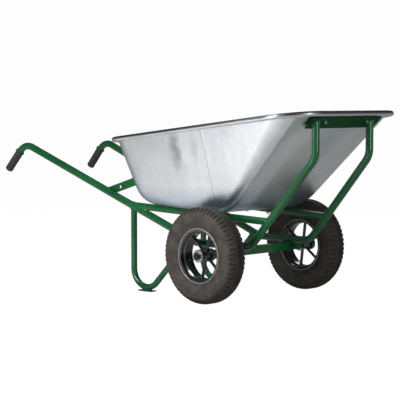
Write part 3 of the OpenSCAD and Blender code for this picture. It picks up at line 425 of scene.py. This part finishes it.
def tyre_surface(side):
    """The section carried round the axle: its outline is sunk between the lugs and in the grooves round the
    crown, which swing from side to side as a zigzag, and raised in fine rings on the side wall. Also returns
    how far each point lies between lugs, and how well it is kept from the road's rubbing."""
    tread_r, half_w, shoulder, belly, belly_r = 0.200, 0.048, 0.034, 0.150, 0.044
    bead, bead_out, bead_in, cavity_mid, cavity_r = 0.1045, 0.0326, 0.020, 0.149, 0.037
    lugs, lug_deep, groove_deep, zigzag = 60, 0.0031, 0.0032, 0.0016
    ring_radii, ring_high, guard_r, guard_high = (0.1690, 0.1612, 0.1535), 0.0005, 0.1215, 0.0012
    flat_w = half_w - shoulder
    crown_out = np.array([0.0, 0.0010, 0.0016, 0.0062, 0.0068, 0.0090, 0.0096, 0.0125])
    crown_cut = np.array([1, 1, 0, 0, 1, 1, 0, 0])
    crown = np.stack([np.full(len(crown_out), tread_r), crown_out], 1)
    turn = arc((tread_r - shoulder, flat_w), shoulder, 1, 90, 30)
    wall = np.stack([np.linspace(tread_r - shoulder, belly, 7)[1:], np.full(6, half_w)], 1)
    under = arc((belly, half_w - belly_r), belly_r, 90, 132, 20)[1:]
    foot = np.linspace(under[-1], (bead, bead_out), 5)[1:]
    half = np.vstack([crown, turn, wall, under, foot])
    groove = np.concatenate([crown_cut, np.zeros(len(half) - len(crown_cut))])
    outline = np.vstack([(half * [1, -1])[:0:-1], half])
    groove = np.concatenate([groove[:0:-1], groove])
    step = np.gradient(outline, axis=0)
    normal = unit(np.stack([step[:, 1], -step[:, 0]], 1))
    beat = np.array([0, 0.16, 0.21, 0.29, 0.34, 0.5, 0.66, 0.71, 0.79, 0.84])
    pitch = (np.arange(lugs)[:, None] + beat).reshape(-1, 1)
    angle = pitch * 2 * np.pi / lugs
    out, radius = outline[None, :, 1], outline[None, :, 0]
    tilt = np.degrees(np.arctan2(np.abs(out) - flat_w, radius - tread_r + shoulder))
    share = (pitch + 0.5 * (out < 0)) % 1
    between = 1 - ramp(np.minimum(share, 1 - share), 0.16, 0.21)
    on_shoulder = ramp(tilt, 14, 20) * (1 - ramp(tilt, 58, 66)) * (np.abs(out) > flat_w)
    sunk = lug_deep * between * on_shoulder + groove_deep * groove
    rings = sum(1 - ramp(np.abs(radius - r), 0.0008, 0.0018) for r in ring_radii)
    guard = 1 - ramp(np.abs(radius - guard_r), 0.0016, 0.0036)
    raised = (ring_high * rings + guard_high * guard) * (np.abs(out) > 0.03)
    place = outline[None] - (sunk - raised)[..., None] * normal[None]
    place[..., 1] += zigzag * (np.abs(pitch % 1 * 2 - 1) - 0.5) * (1 - ramp(np.abs(out), 0.010, 0.013))
    cavity = arc((cavity_mid, 0.0), cavity_r, 125, -125, 26)
    inner = np.vstack([[[bead, bead_in]], cavity, [[bead, -bead_in]]])
    inner = np.broadcast_to(inner[None], (len(angle), *inner.shape))
    section = np.concatenate([place, inner], 1)
    plain = np.zeros(inner.shape[:2])
    depth = np.concatenate([between * on_shoulder, plain], 1)
    sheltered = np.broadcast_to(np.maximum(ramp(tilt, 20, 85), 2 * groove), sunk.shape)
    return (at_wheel(side, section[..., 0], angle, section[..., 1]), depth,
            np.concatenate([sheltered, plain], 1))


def rubber_effect():
    """Weathered rubber: dust in a warm grey over black in clouds and scuffs, and grain in the height."""
    tree, given, out = effect(
        "rubber_skin",
        {"Rubber": (0.02, 0.02, 0.02, 1.0), "Dust": (0.1, 0.09, 0.08, 1.0), "Dustiness": 0.5},
        {"Colour": tuple, "Roughness": float, "Height": float})
    place = add(tree, "TexCoord").outputs["Object"]
    cloud = noise(tree, place, 22.0, 5.0, 0.62)
    grain = noise(tree, place, 520.0, 3.0, 0.6)
    scuff = noise(tree, place, 110.0, 4.0, 0.7)
    share = sums(tree, "MULTIPLY", band(tree, cloud, 0.36, 0.64, 0.34, 1.0), given["Dustiness"])
    worn = sums(tree, "MULTIPLY", share, band(tree, scuff, 0.34, 0.66, 0.40, 1.25), clamp=True)
    tree.links.new(blend(tree, worn, given["Rubber"], given["Dust"]), out["Colour"])
    tree.links.new(band(tree, scuff, 0.3, 0.75, 0.58, 0.86), out["Roughness"])
    tree.links.new(sums(tree, "ADD", grain, scuff), out["Height"])
    return tree


rubber_skin = rubber_effect()


def rubber(name, black, dust, dustiness):
    """A finish of moulded rubber."""
    values = {"Rubber": black, "Dust": dust, "Dustiness": dustiness}
    made, tree, shader, face, bump = finish(name, rubber_skin, values)
    bump.inputs["Strength"].default_value = 0.35
    bump.inputs["Distance"].default_value = 0.0006
    shader.inputs["Specular IOR Level"].default_value = 0.35
    return made, tree, face


tyre_rubber, tree, face = rubber("tyre_rubber", black=(0.013, 0.0115, 0.0100), dust=(0.057, 0.049, 0.040),
                                 dustiness=0.9)
kept = add(tree, "Attribute", attribute_name="kept").outputs["Fac"]
cut = add(tree, "Attribute", attribute_name="cut").outputs["Fac"]
# The gaps between the lugs are darker: painted shade.
dusty = sums(tree, "MULTIPLY", band(tree, kept, 0.0, 2.0, 0.56, 1.85), band(tree, cut, 0.0, 1.0, 1.0, 0.3))
tree.links.new(dusty, face.inputs["Dustiness"])
for side in both:
    grid, depth, sheltered = tyre_surface(side)
    tyre = skin(f"tyre_skin_{side}", grid, tyre_rubber, f"wheel_{side}", round_rows=True)
    mark(tyre, "cut", depth)
    mark(tyre, "kept", sheltered)
    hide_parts(f"tyre_{side}")

# Inner tubes, valves and their caps: smooth butyl rubber and moulded plastic.
# The tube lies inside the tyre, and only the valve comes out through the rim's well.
tube_rubber = rubber("tube_rubber", black=(0.012, 0.012, 0.012), dust=(0.05, 0.046, 0.042), dustiness=0.35)[0]
dress(pairs("inner_tube", "valve", "valve_cap"), tube_rubber)

# Bolts, nuts, washers and grease nipples: forged or turned steel with a thin zinc plating.
# The domed bolt heads lie inside the pan, and the nuts outside.


def zinc_effect():
    """Zinc on steel: crystals of differing shade, streaks down the sheet, a dull bloom, stains, and a dark grey
    of painted shade and grime where their masks say; the height is a slow waviness of the sheet."""
    tree, given, out = effect(
        "zinc_face",
        {"Bright": (0.8, 0.8, 0.8, 1.0), "Dull": (0.5, 0.5, 0.5, 1.0), "Crystals": 60.0, "Spangle": 0.2,
         "Polish": 0.3, "Stain": 0.0, "Grime": 0.0},
        {"Colour": tuple, "Roughness": float, "Height": float})
    wander, drawn_down, shade_and_grime_grey = (0.012, 0.012, 0.012), (1.0, 1.0, 0.16), (0.13, 0.13, 0.13, 1.0)
    place = add(tree, "TexCoord").outputs["Object"]
    drift = add(tree, "TexNoise", {"Vector": place, "Scale": 30.0, "Detail": 2.0}).outputs["Color"]
    moved = add(tree, "VectorMath", {0: drift, 1: wander, 2: place}, operation="MULTIPLY_ADD").outputs[0]
    cells = add(tree, "TexVoronoi", {"Vector": moved, "Scale": given["Crystals"]})
    tone = add(tree, "SeparateColor", {0: cells.outputs["Color"]}).outputs[0]
    drawn = add(tree, "Mapping", {"Vector": place, "Scale": drawn_down}).outputs[0]
    streak = band(tree, noise(tree, drawn, 22.0, 4.0, 0.6), 0.38, 0.72, 0.0, 0.26)
    bloom = band(tree, noise(tree, place, 4.0, 3.0, 0.5), 0.42, 0.70, 0.0, 0.30)
    grown = sums(tree, "ADD", sums(tree, "MULTIPLY", tone, given["Spangle"]), streak)
    total = sums(tree, "ADD", sums(tree, "ADD", grown, bloom), given["Stain"], clamp=True)
    clean = blend(tree, total, given["Bright"], given["Dull"])
    tree.links.new(blend(tree, given["Grime"], clean, shade_and_grime_grey), out["Colour"])
    dulled = band(tree, total, 0.0, 1.0, -0.02, 0.03)
    tree.links.new(sums(tree, "ADD", dulled, given["Polish"]), out["Roughness"])
    tree.links.new(noise(tree, place, 7.0, 1.0), out["Height"])
    return tree


zinc_face = zinc_effect()


def zinc(name, bright, dull, crystals, spangle, polish):
    """A finish of bare zinc: metal all over, its shade and roughness from the shared crystals and streaks."""
    values = {"Bright": bright, "Dull": dull, "Crystals": crystals, "Spangle": spangle, "Polish": polish}
    made, tree, shader, face, bump = finish(name, zinc_face, values)
    bump.inputs["Strength"].default_value = 1.0
    bump.inputs["Distance"].default_value = 0.0012
    shader.inputs["Metallic"].default_value = 1.0
    return made, tree, face


zinc_plate = zinc("zinc_plate", bright=(0.62, 0.63, 0.64), dull=(0.34, 0.35, 0.36),
                  crystals=300.0, spangle=0.5, polish=0.28)[0]
dress([f"{place}_{kind}" for place in ("floor", "nose", "strap") for kind in ("bolts", "nuts")], zinc_plate)
dress(["axle_washers", *pairs("grease_nipple")], zinc_plate)

# Bearings: two sealed ball bearings pressed into the cups of each hub.
# Each shows its two ground rings with a sunk seal between them.


def bearing_surfaces(side):
    """A closed section turned round the axle, once for each bearing: two rings with a sunk seal between."""
    bore, inner, outer, rim, half, middle = 0.01005, 0.0145, 0.0192, 0.0235, 0.007, 0.032
    sunk, lead, edge = 0.0009, 0.0003, 0.0006
    face = np.array([[bore + edge, half], [inner, half], [inner + lead, half - sunk],
                     [outer - lead, half - sunk], [outer, half], [rim - edge, half], [rim, half - edge]])
    section = np.vstack([face, (face * [1, -1])[::-1], [[bore, edge - half], [bore, half - edge]]])
    angle = np.linspace(0, 2 * np.pi, 72, endpoint=False)[:, None]
    return np.array([at_wheel(side, section[None, :, 0], angle, section[None, :, 1] + out)
                     for out in (-middle, middle)])


for side in both:
    bearing = skin(f"bearing_rings_{side}", bearing_surfaces(side), zinc_plate, f"wheel_{side}",
                   round_rows=True, crisp=0.5)
    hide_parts(f"bearings_{side}")

# Axle and axle nuts: a steel bar with threaded ends, and flat forged nuts chamfered on both faces.
# They were painted with the frame, and their paint is darker as painted shade in the hubs.


def nut_surface(side):
    """A profile turned about the axle, its radius following the six flats: bore, chamfer, flat, face."""
    flats, height, bore, edge, ring_share = 0.030, 0.007, 0.0100, 0.0008, 0.95
    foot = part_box("axle_nuts")[1][1] - half_track - height
    angle = np.linspace(0, 2 * np.pi, 96, endpoint=False)[None]
    corner = flats / 2 / np.cos((angle + np.pi / 6) % (np.pi / 3) - np.pi / 6)
    ring = np.full_like(corner, ring_share * flats / 2)
    drop = (corner - ring) * np.tan(np.radians(30))
    mouth = np.full_like(corner, bore + edge)
    hole = np.full_like(corner, bore)
    radius = np.concatenate([hole, hole, mouth, ring, corner, corner, ring, mouth])
    base = 0 * drop
    level = np.concatenate([base + edge, base + height - edge, base + height, base + height,
                            height - drop, drop, base, base])
    return at_wheel(side, radius, angle, foot + level)


# A near-black green for the axle and its nuts: painted shade.
hub_shade_enamel = enamel("oily_green_enamel", paint=(0.004, 0.017, 0.007), steel=bare_steel,
                     chips=0.08, gloss=0.34, shine=0.2, coat=0.0)[0]
nuts = skin("axle_nut_pair", np.array([nut_surface(side) for side in both]), hub_shade_enamel,
            "frame", round_rows=True, crisp=0.3)
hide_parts("axle_nuts")
dress(["axle"], hub_shade_enamel)

# Grips: ribbed sleeves of black rubber, pushed on to the ends of the handles.
# Dust lies on the rubber in clouds and scuffs.


def grip_surface(side):
    """A profile turned about the handle's end: rounded closed end, fine flutes along the sleeve, seven ring
    grooves, a rounded stop ring, and back inside along the bore."""
    end_r, end_edge, sleeve_r, bore_r, mouth_r = 0.0135, 0.005, 0.0185, 0.0161, 0.0164
    groove_deep, first_groove, groove_run, flutes, flute_deep = 0.0011, 0.017, 0.084, 24, 0.00022
    stop_r, stop_edge, stop_start, stop_end, length = 0.0196, 0.0014, 0.1152, 0.1186, 0.1200
    foot, head = in_side(side, -1.352, 0.506), in_side(side, *handle_top)
    along = unit(head - foot)
    across = unit(np.cross(along, [0.0, 0.0, 1.0]))
    above = np.cross(across, along)
    end = arc((end_r, end_edge), end_edge, -90, 0, 8)
    body = np.linspace(0.0055, 0.1125, 150)
    places = first_groove + groove_run * np.arange(7) / 6
    grooves = sum(1 - ramp(np.abs(body - at), 0.0013, 0.0022) for at in places)
    sleeve = np.stack([sleeve_r - groove_deep * grooves, body], 1)
    ring = np.vstack([arc((stop_r, stop_start), stop_edge, -90, 0, 6),
                      arc((stop_r, stop_end), stop_edge, 0, 90, 6)])
    bore = np.array([[mouth_r, length], [bore_r, length - 0.0004], [bore_r, 0.0060]])
    profile = np.vstack([end, sleeve, ring, bore])
    fluted = np.concatenate([np.zeros(len(end)), 1 - grooves, np.zeros(len(ring) + len(bore))])[:, None]
    turn = np.linspace(0, 2 * np.pi, 96, endpoint=False)[None]
    radius = profile[:, :1] - flute_deep * fluted * (1 - np.cos(flutes * turn))
    ray = np.cos(turn)[..., None] * across + np.sin(turn)[..., None] * above
    return foot + profile[:, 1][:, None, None] * along + radius[..., None] * ray


grip_rubber = rubber("grip_rubber", black=(0.020, 0.0195, 0.019), dust=(0.075, 0.071, 0.064),
                     dustiness=0.5)[0]
for side in both:
    grip = skin(f"grip_sleeve_{side}", grip_surface(side), grip_rubber, "frame", ends=True)
    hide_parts(f"grip_{side}")

# Pan: one steel sheet, pressed deep with a fold at each front corner and a crease in each side,
# its edge rolled over into a bead, then dipped in zinc.
# It sits on the bed rails and is bolted at eight places.
nose_points, bow_points, corner_points, wing_points, wall_points = 8, 22, 26, 14, 22
fold_column = nose_points + bow_points
crease_column = fold_column + corner_points + wing_points
crease_row, ridge_end, line_end, fade_rows = 20, 45, 42, 8
rim_slope, rim_fore, rim_height = np.radians(6.45), 0.5145, 0.7835


def mix(a, b, t):
    """The point between a and b at the share t of the way."""
    return a + (b - a) * t


def pan_outline(front, rear, front_half, rear_half, front_r, rear_r, crease, bow):
    """A level outline of the pan from the middle of the nose round the left side and back round the right.
    The nose is flat, bows back to the fold, turns the rest of the corner's arc, runs back along a wing to
    the crease and on along the side, and turns the rear corner; the right half mirrors the left. The points
    crowd together beside the crease."""
    fold_turn, nose_flat, bow_power, crowding = 40, 0.150151, 1.3, 1.8
    fold = np.radians(fold_turn)
    fold_y = front_half - front_r + front_r * np.sin(fold)
    nose_y = np.linspace(0, nose_flat, nose_points, endpoint=False)
    nose = np.stack([np.full(nose_points, front), nose_y], 1)
    y = np.linspace(nose_flat, fold_y, bow_points, endpoint=False)
    bowed = front - front_r * (1 - np.cos(fold)) * ((y - nose_flat) / (fold_y - nose_flat)) ** bow_power
    inset = np.clip(y - front_half + front_r, 0, None)
    turned = front - front_r + np.sqrt(front_r ** 2 - inset ** 2)
    bows = np.stack([mix(turned, bowed, bow), y], 1)
    corner = arc((front - front_r, front_half - front_r), front_r, fold_turn, 90, corner_points + 1)[:-1]
    turn = np.array([front - front_r, front_half])
    bend = np.array([crease, front_half])
    end = np.array([rear + rear_r, rear_half])
    wing = mix(turn, bend, 1 - np.linspace(1, 0, wing_points, endpoint=False)[:, None] ** crowding)
    wall = mix(bend, end, np.linspace(0, 1, wall_points, endpoint=False)[:, None] ** crowding)
    back = arc((rear + rear_r, rear_half - rear_r), rear_r, 90, 180, 31)[:-1]
    tail = np.linspace((rear, rear_half - rear_r), (rear, 0), 9)
    half = np.vstack([nose, bows, corner, wing, wall, back, tail])
    return np.vstack([half, (half * [1, -1])[-2:0:-1]])


def bent(a, b, c, count):
    """Rows on a curve from a to c that sets out towards b and arrives from it."""
    t = np.linspace(0, 1, count)[:, None, None]
    return mix(mix(a, b, t), mix(b, c, t), t)


def on_floor(outline):
    """An outline laid on the sloping plane of the bed rails."""
    fall = np.radians(2.34)
    behind = outline[:, 0] / np.cos(toe) - rail_end[0]
    return np.column_stack([outline, rail_end[1] - np.tan(fall) * behind + rail_r / np.cos(fall)])


def on_rim(outline):
    """An outline laid on the sloping plane of the pan's rim."""
    return np.column_stack([outline, rim_height + np.tan(rim_slope) * (outline[:, 0] - rim_fore)])


def pan_surface():
    """The pan's two skins as one closed grid. The rows run from the middle of the floor out over the sweep,
    up the straight wall, over the lip and round the bead; the inner skin stands one sheet inside. A slight
    ridge follows the crease."""
    sheet, bead_r, flange, sweep, ridge = 0.0015, 0.0105, 0.0165, 0.036, 0.0005
    floor_front, floor_rear, rim_front, rim_rear = 0.24967, 0.265995, 0.35817, 0.352495
    flat = on_floor(pan_outline(
        front=-0.035, rear=-0.402, front_half=floor_front - sweep, rear_half=floor_rear - sweep,
        front_r=0.045, rear_r=0.090, crease=-0.090, bow=1))
    foot = on_floor(pan_outline(
        front=0.060, rear=-0.477, front_half=floor_front, rear_half=floor_rear,
        front_r=0.045, rear_r=0.090, crease=0.005, bow=1))
    top = on_rim(pan_outline(
        front=0.498, rear=-0.562, front_half=rim_front - flange, rear_half=rim_rear - flange,
        front_r=0.1415, rear_r=0.0955, crease=-0.005, bow=1))
    bead = on_rim(pan_outline(
        front=rim_fore, rear=-0.5785, front_half=rim_front, rear_half=rim_rear,
        front_r=0.158, rear_r=0.112, crease=-0.005, bow=0))
    up = np.array([-np.sin(rim_slope), 0, np.cos(rim_slope)])
    curl_r = bead_r - sheet
    sweep_length, wall_length = (np.linalg.norm(v, axis=-1, keepdims=True) for v in (foot - flat, top - foot))
    swept = mix(foot, top, sweep_length / wall_length)
    rise = unit(top - foot)
    lip_corner = top + rise * curl_r / (rise @ up)[:, None]
    out = unit(bead - top)
    curl = np.radians(np.linspace(90, -170, 40))[1:, None, None]
    middle = flat.mean(0)
    middle[1] = 0
    outer = np.concatenate([
        mix(middle, flat, np.linspace(0, 1, 12)[1:-1, None, None]),
        bent(flat, foot, swept, 18)[:-1],
        mix(swept, top, np.linspace(0, 1, 16)[:-1, None, None]),
        bent(top, lip_corner, bead + curl_r * up, 14),
        bead + curl_r * (np.cos(curl) * out + np.sin(curl) * up),
    ])
    along = np.gradient(outer, axis=0)
    across = np.roll(outer, -1, 1) - np.roll(outer, 1, 1)
    inward = unit(np.cross(along, across))
    on_crease = np.ix_(np.arange(crease_row, ridge_end), [crease_column, -crease_column])
    outer[on_crease] -= ridge * inward[on_crease]
    inner = outer + sheet * inward
    return np.concatenate([outer, inner[::-1]]) + [axle_x, 0, 0]


def soft_oval(tree, place, middle, half_size):
    """A soft oval mark on the wall: 1 at its middle, 0 at its edge, ragged by noise."""
    scale = 1 / np.array(half_size)
    shift = tuple(-np.array(middle) * scale)
    moved = add(tree, "Mapping", {"Vector": place, "Location": shift, "Scale": tuple(scale)}).outputs[0]
    oval = add(tree, "TexGradient", {"Vector": moved}, gradient_type="SPHERICAL").outputs["Fac"]
    ragged = band(tree, noise(tree, place, 30.0), 0.3, 0.7, 0.6, 1.3)
    return band(tree, sums(tree, "MULTIPLY", oval, ragged), 0.1, 0.7)


galvanised, tree, face = zinc("galvanised_sheet", bright=(0.88, 0.895, 0.91), dull=(0.54, 0.62, 0.72),
                              crystals=70.0, spangle=0.14, polish=0.31)
place = add(tree, "TexCoord").outputs["Object"]
level = add(tree, "SeparateXYZ", {0: place}).outputs
rim_z = sums(tree, "ADD", sums(tree, "MULTIPLY", level["X"], np.tan(rim_slope)),
             rim_height - np.tan(rim_slope) * (axle_x + rim_fore))
# Painted dark reflection: the top of the bead is darkened, and the band reaches lower at the nose over a
# highlight.
nose_shade_drop = band(tree, level["X"], axle_x + 0.25, axle_x + 0.45, 0.0, 0.005)
over_rim = sums(tree, "ADD", sums(tree, "SUBTRACT", level["Z"], rim_z), nose_shade_drop)
bead_top_shade = band(tree, over_rim, -0.003, 0.003, 0.0, 0.82)
# Two darker oval patches on the near wall.
rear_dark_oval = sums(tree, "MULTIPLY", soft_oval(tree, place, (0.246, -0.316, 0.635), (0.046, 0.12, 0.115)), 0.5)
fore_dark_oval = sums(tree, "MULTIPLY", soft_oval(tree, place, (0.356, -0.316, 0.645), (0.030, 0.12, 0.09)), 0.22)
# Painted shade and dirt: a fine dark line along each crease.
crease_shade_and_dirt = sums(tree, "MULTIPLY", add(tree, "Attribute", attribute_name="crease").outputs["Fac"], 0.42)
darkened_marks = sums(tree, "ADD", sums(tree, "ADD", rear_dark_oval, fore_dark_oval), crease_shade_and_dirt)
tree.links.new(sums(tree, "MAXIMUM", darkened_marks, bead_top_shade), face.inputs["Grime"])
tree.links.new(band(tree, level["X"], axle_x + 0.02, axle_x + 0.42, 0.31, 0.36), face.inputs["Polish"])
# A lighter oval patch on the near wall.
light_oval = sums(tree, "MULTIPLY", soft_oval(tree, place, (0.303, -0.318, 0.645), (0.036, 0.12, 0.11)), -0.6)
# The sheet turns duller and bluer towards the bottom.
bottom_dulling = band(tree, level["Z"], 0.40, 0.48, 0.8, 0.0)
tree.links.new(sums(tree, "ADD", light_oval, bottom_dulling), face.inputs["Stain"])
surface = pan_surface()
pan = skin("pan_skin", surface, galvanised, "frame", ends=True)
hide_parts("pan")

# Folds and creases of the pan: pressed into the same sheet, so their edges stay sharp.
# A fine dark line of painted shade and dirt lies along each crease and fades out under the rim.
columns = surface.shape[1]
edges = np.empty(2 * len(pan.data.edges), dtype=np.int32)
pan.data.edges.foreach_get("vertices", edges)
column = edges.reshape(-1, 2) % columns
sharp_columns = [fold_column, crease_column, columns - crease_column, columns - fold_column]
folded = (column[:, 0] == column[:, 1]) & np.isin(column[:, 0], sharp_columns)
sharp = pan.data.attributes["sharp_edge"].data
crisp_edges = np.empty(len(folded), dtype=bool)
sharp.foreach_get("value", crisp_edges)
sharp.foreach_set("value", crisp_edges | folded)
line_rows = np.arange(crease_row, line_end)
fading = np.clip((line_end - line_rows) / fade_rows, 0, 1)[:, None] * [0.5, 1.0, 0.5]
shade_and_dirt_lines = np.zeros(surface.shape[:2])
shade_and_dirt_lines[np.ix_(line_rows, [crease_column - 1, crease_column, crease_column + 1])] = fading
shade_and_dirt_lines = np.maximum(shade_and_dirt_lines, shade_and_dirt_lines[::-1])
shade_and_dirt_lines = np.maximum(shade_and_dirt_lines, np.roll(shade_and_dirt_lines[:, ::-1], 1, 1))
mark(pan, "crease", np.concatenate([shade_and_dirt_lines.ravel(), np.zeros(2)]))

# Stage: a plain pale floor before a white backdrop, a tall soft light at the right side with a small one
# low under it, and weaker lights at the nose, overhead and on the far side.
# The camera stands low at the nose's right, as for the photograph.
ground = bpy.data.materials.new("pale_floor")
ground.use_nodes = True
tree = ground.node_tree
tree.nodes.clear()
seen = add(tree, "LightPath").outputs["Is Camera Ray"]
across = add(tree, "SeparateXYZ", {0: add(tree, "TexCoord").outputs["Object"]}).outputs["Y"]
# Seen only in reflections: a painted shadow darkens the floor under and beyond the barrow, and a faint painted
# glow lifts it.
tone = blend(tree, band(tree, across, -0.85, -0.35), (0.58, 0.575, 0.57, 1.0), (0.30, 0.30, 0.30, 1.0))
matt_with_painted_shadow = add(tree, "BsdfDiffuse", {"Color": tone}).outputs[0]
painted_glow = add(tree, "Emission", {"Color": (1.0, 1.0, 0.96, 1.0), "Strength": 0.18}).outputs[0]
white = add(tree, "Emission", {"Color": (1.0, 1.0, 1.0, 1.0), "Strength": 0.97}).outputs[0]
shaded = add(tree, "BsdfDiffuse", {"Color": (0.2, 0.2, 0.2, 1.0)}).outputs[0]
painted_reflected_floor = add(tree, "AddShader", {0: matt_with_painted_shadow, 1: painted_glow}).outputs[0]
lit = add(tree, "AddShader", {0: white, 1: shaded}).outputs[0]
show = add(tree, "MixShader", {0: seen, 1: painted_reflected_floor, 2: lit}).outputs[0]
add(tree, "OutputMaterial", {"Surface": show})
reach = 40.0
corners = [(-reach, -reach, 0), (reach, -reach, 0), (reach, reach, 0), (-reach, reach, 0)]
floor_mesh = bpy.data.meshes.new("floor")
floor_mesh.from_pydata(corners, [], [(0, 1, 2, 3)])
floor_mesh.materials.append(ground)
floor = bpy.data.objects.new("floor", floor_mesh)
bpy.context.scene.collection.objects.link(floor)

world = bpy.data.worlds.new("studio")
bpy.context.scene.world = world
world.use_nodes = True
tree = world.node_tree
ray = add(tree, "SeparateXYZ", {0: add(tree, "TexCoord").outputs["Generated"]}).outputs["Z"]
glow = blend(tree, band(tree, ray, -0.02, 0.16), (0.40, 0.40, 0.40, 1.0), (0.05, 0.052, 0.055, 1.0))
backdrop = blend(tree, band(tree, ray, 0.0, 0.05), (0.985, 0.985, 0.985, 1.0), (0.992, 0.992, 0.992, 1.0))
seen = add(tree, "LightPath").outputs["Is Camera Ray"]
tree.links.new(blend(tree, seen, glow, backdrop), tree.nodes["Background"].inputs["Color"])
tree.nodes["Background"].inputs["Strength"].default_value = 1.0


def soft_light(name, place, aim, size, power):
    """A soft light of a given width and height at a place, turned to face its aim."""
    made = bpy.data.lights.new(name, "AREA")
    made.shape = "RECTANGLE"
    made.energy = power
    made.size, made.size_y = size
    lamp = bpy.data.objects.new(name, made)
    lamp.location = place
    away = np.array(place) - np.array(aim)
    level = np.hypot(away[0], away[1])
    lamp.rotation_euler = (np.arctan2(level, away[2]), 0.0, np.arctan2(away[0], -away[1]))
    lamp.visible_camera = False
    bpy.context.scene.collection.objects.link(lamp)


soft_light("key", place=(0.15, -2.3, 1.45), aim=(0.15, 0.0, 0.5), size=(0.8, 1.5), power=64.0)
soft_light("nose_light", place=(2.6, -0.25, 1.0), aim=(0.8, 0.0, 0.5), size=(0.22, 1.5), power=18.0)
soft_light("low_light", place=(-0.1, -2.3, 0.45), aim=(0.8, -0.2, 0.5), size=(0.18, 0.5), power=4.6)
soft_light("top_light", place=(-0.6, -0.5, 3.0), aim=(0.1, -0.1, 0.4), size=(0.5, 0.5), power=16.0)
soft_light("far_light", place=(-1.2, 2.8, 2.2), aim=(0.0, 0.0, 0.4), size=(1.4, 1.4), power=14.0)

lens = bpy.data.cameras.new("camera")
lens.sensor_width, lens.lens = 36.0, 125.26
camera = bpy.data.objects.new("camera", lens)
camera.location = (4.33067, -4.43396, 0.82880)
camera.rotation_euler = (np.radians(85.9575), 0.0, np.radians(43.763))
bpy.context.scene.collection.objects.link(camera)
bpy.context.scene.camera = camera
bpy.context.scene.view_settings.view_transform = "Standard"
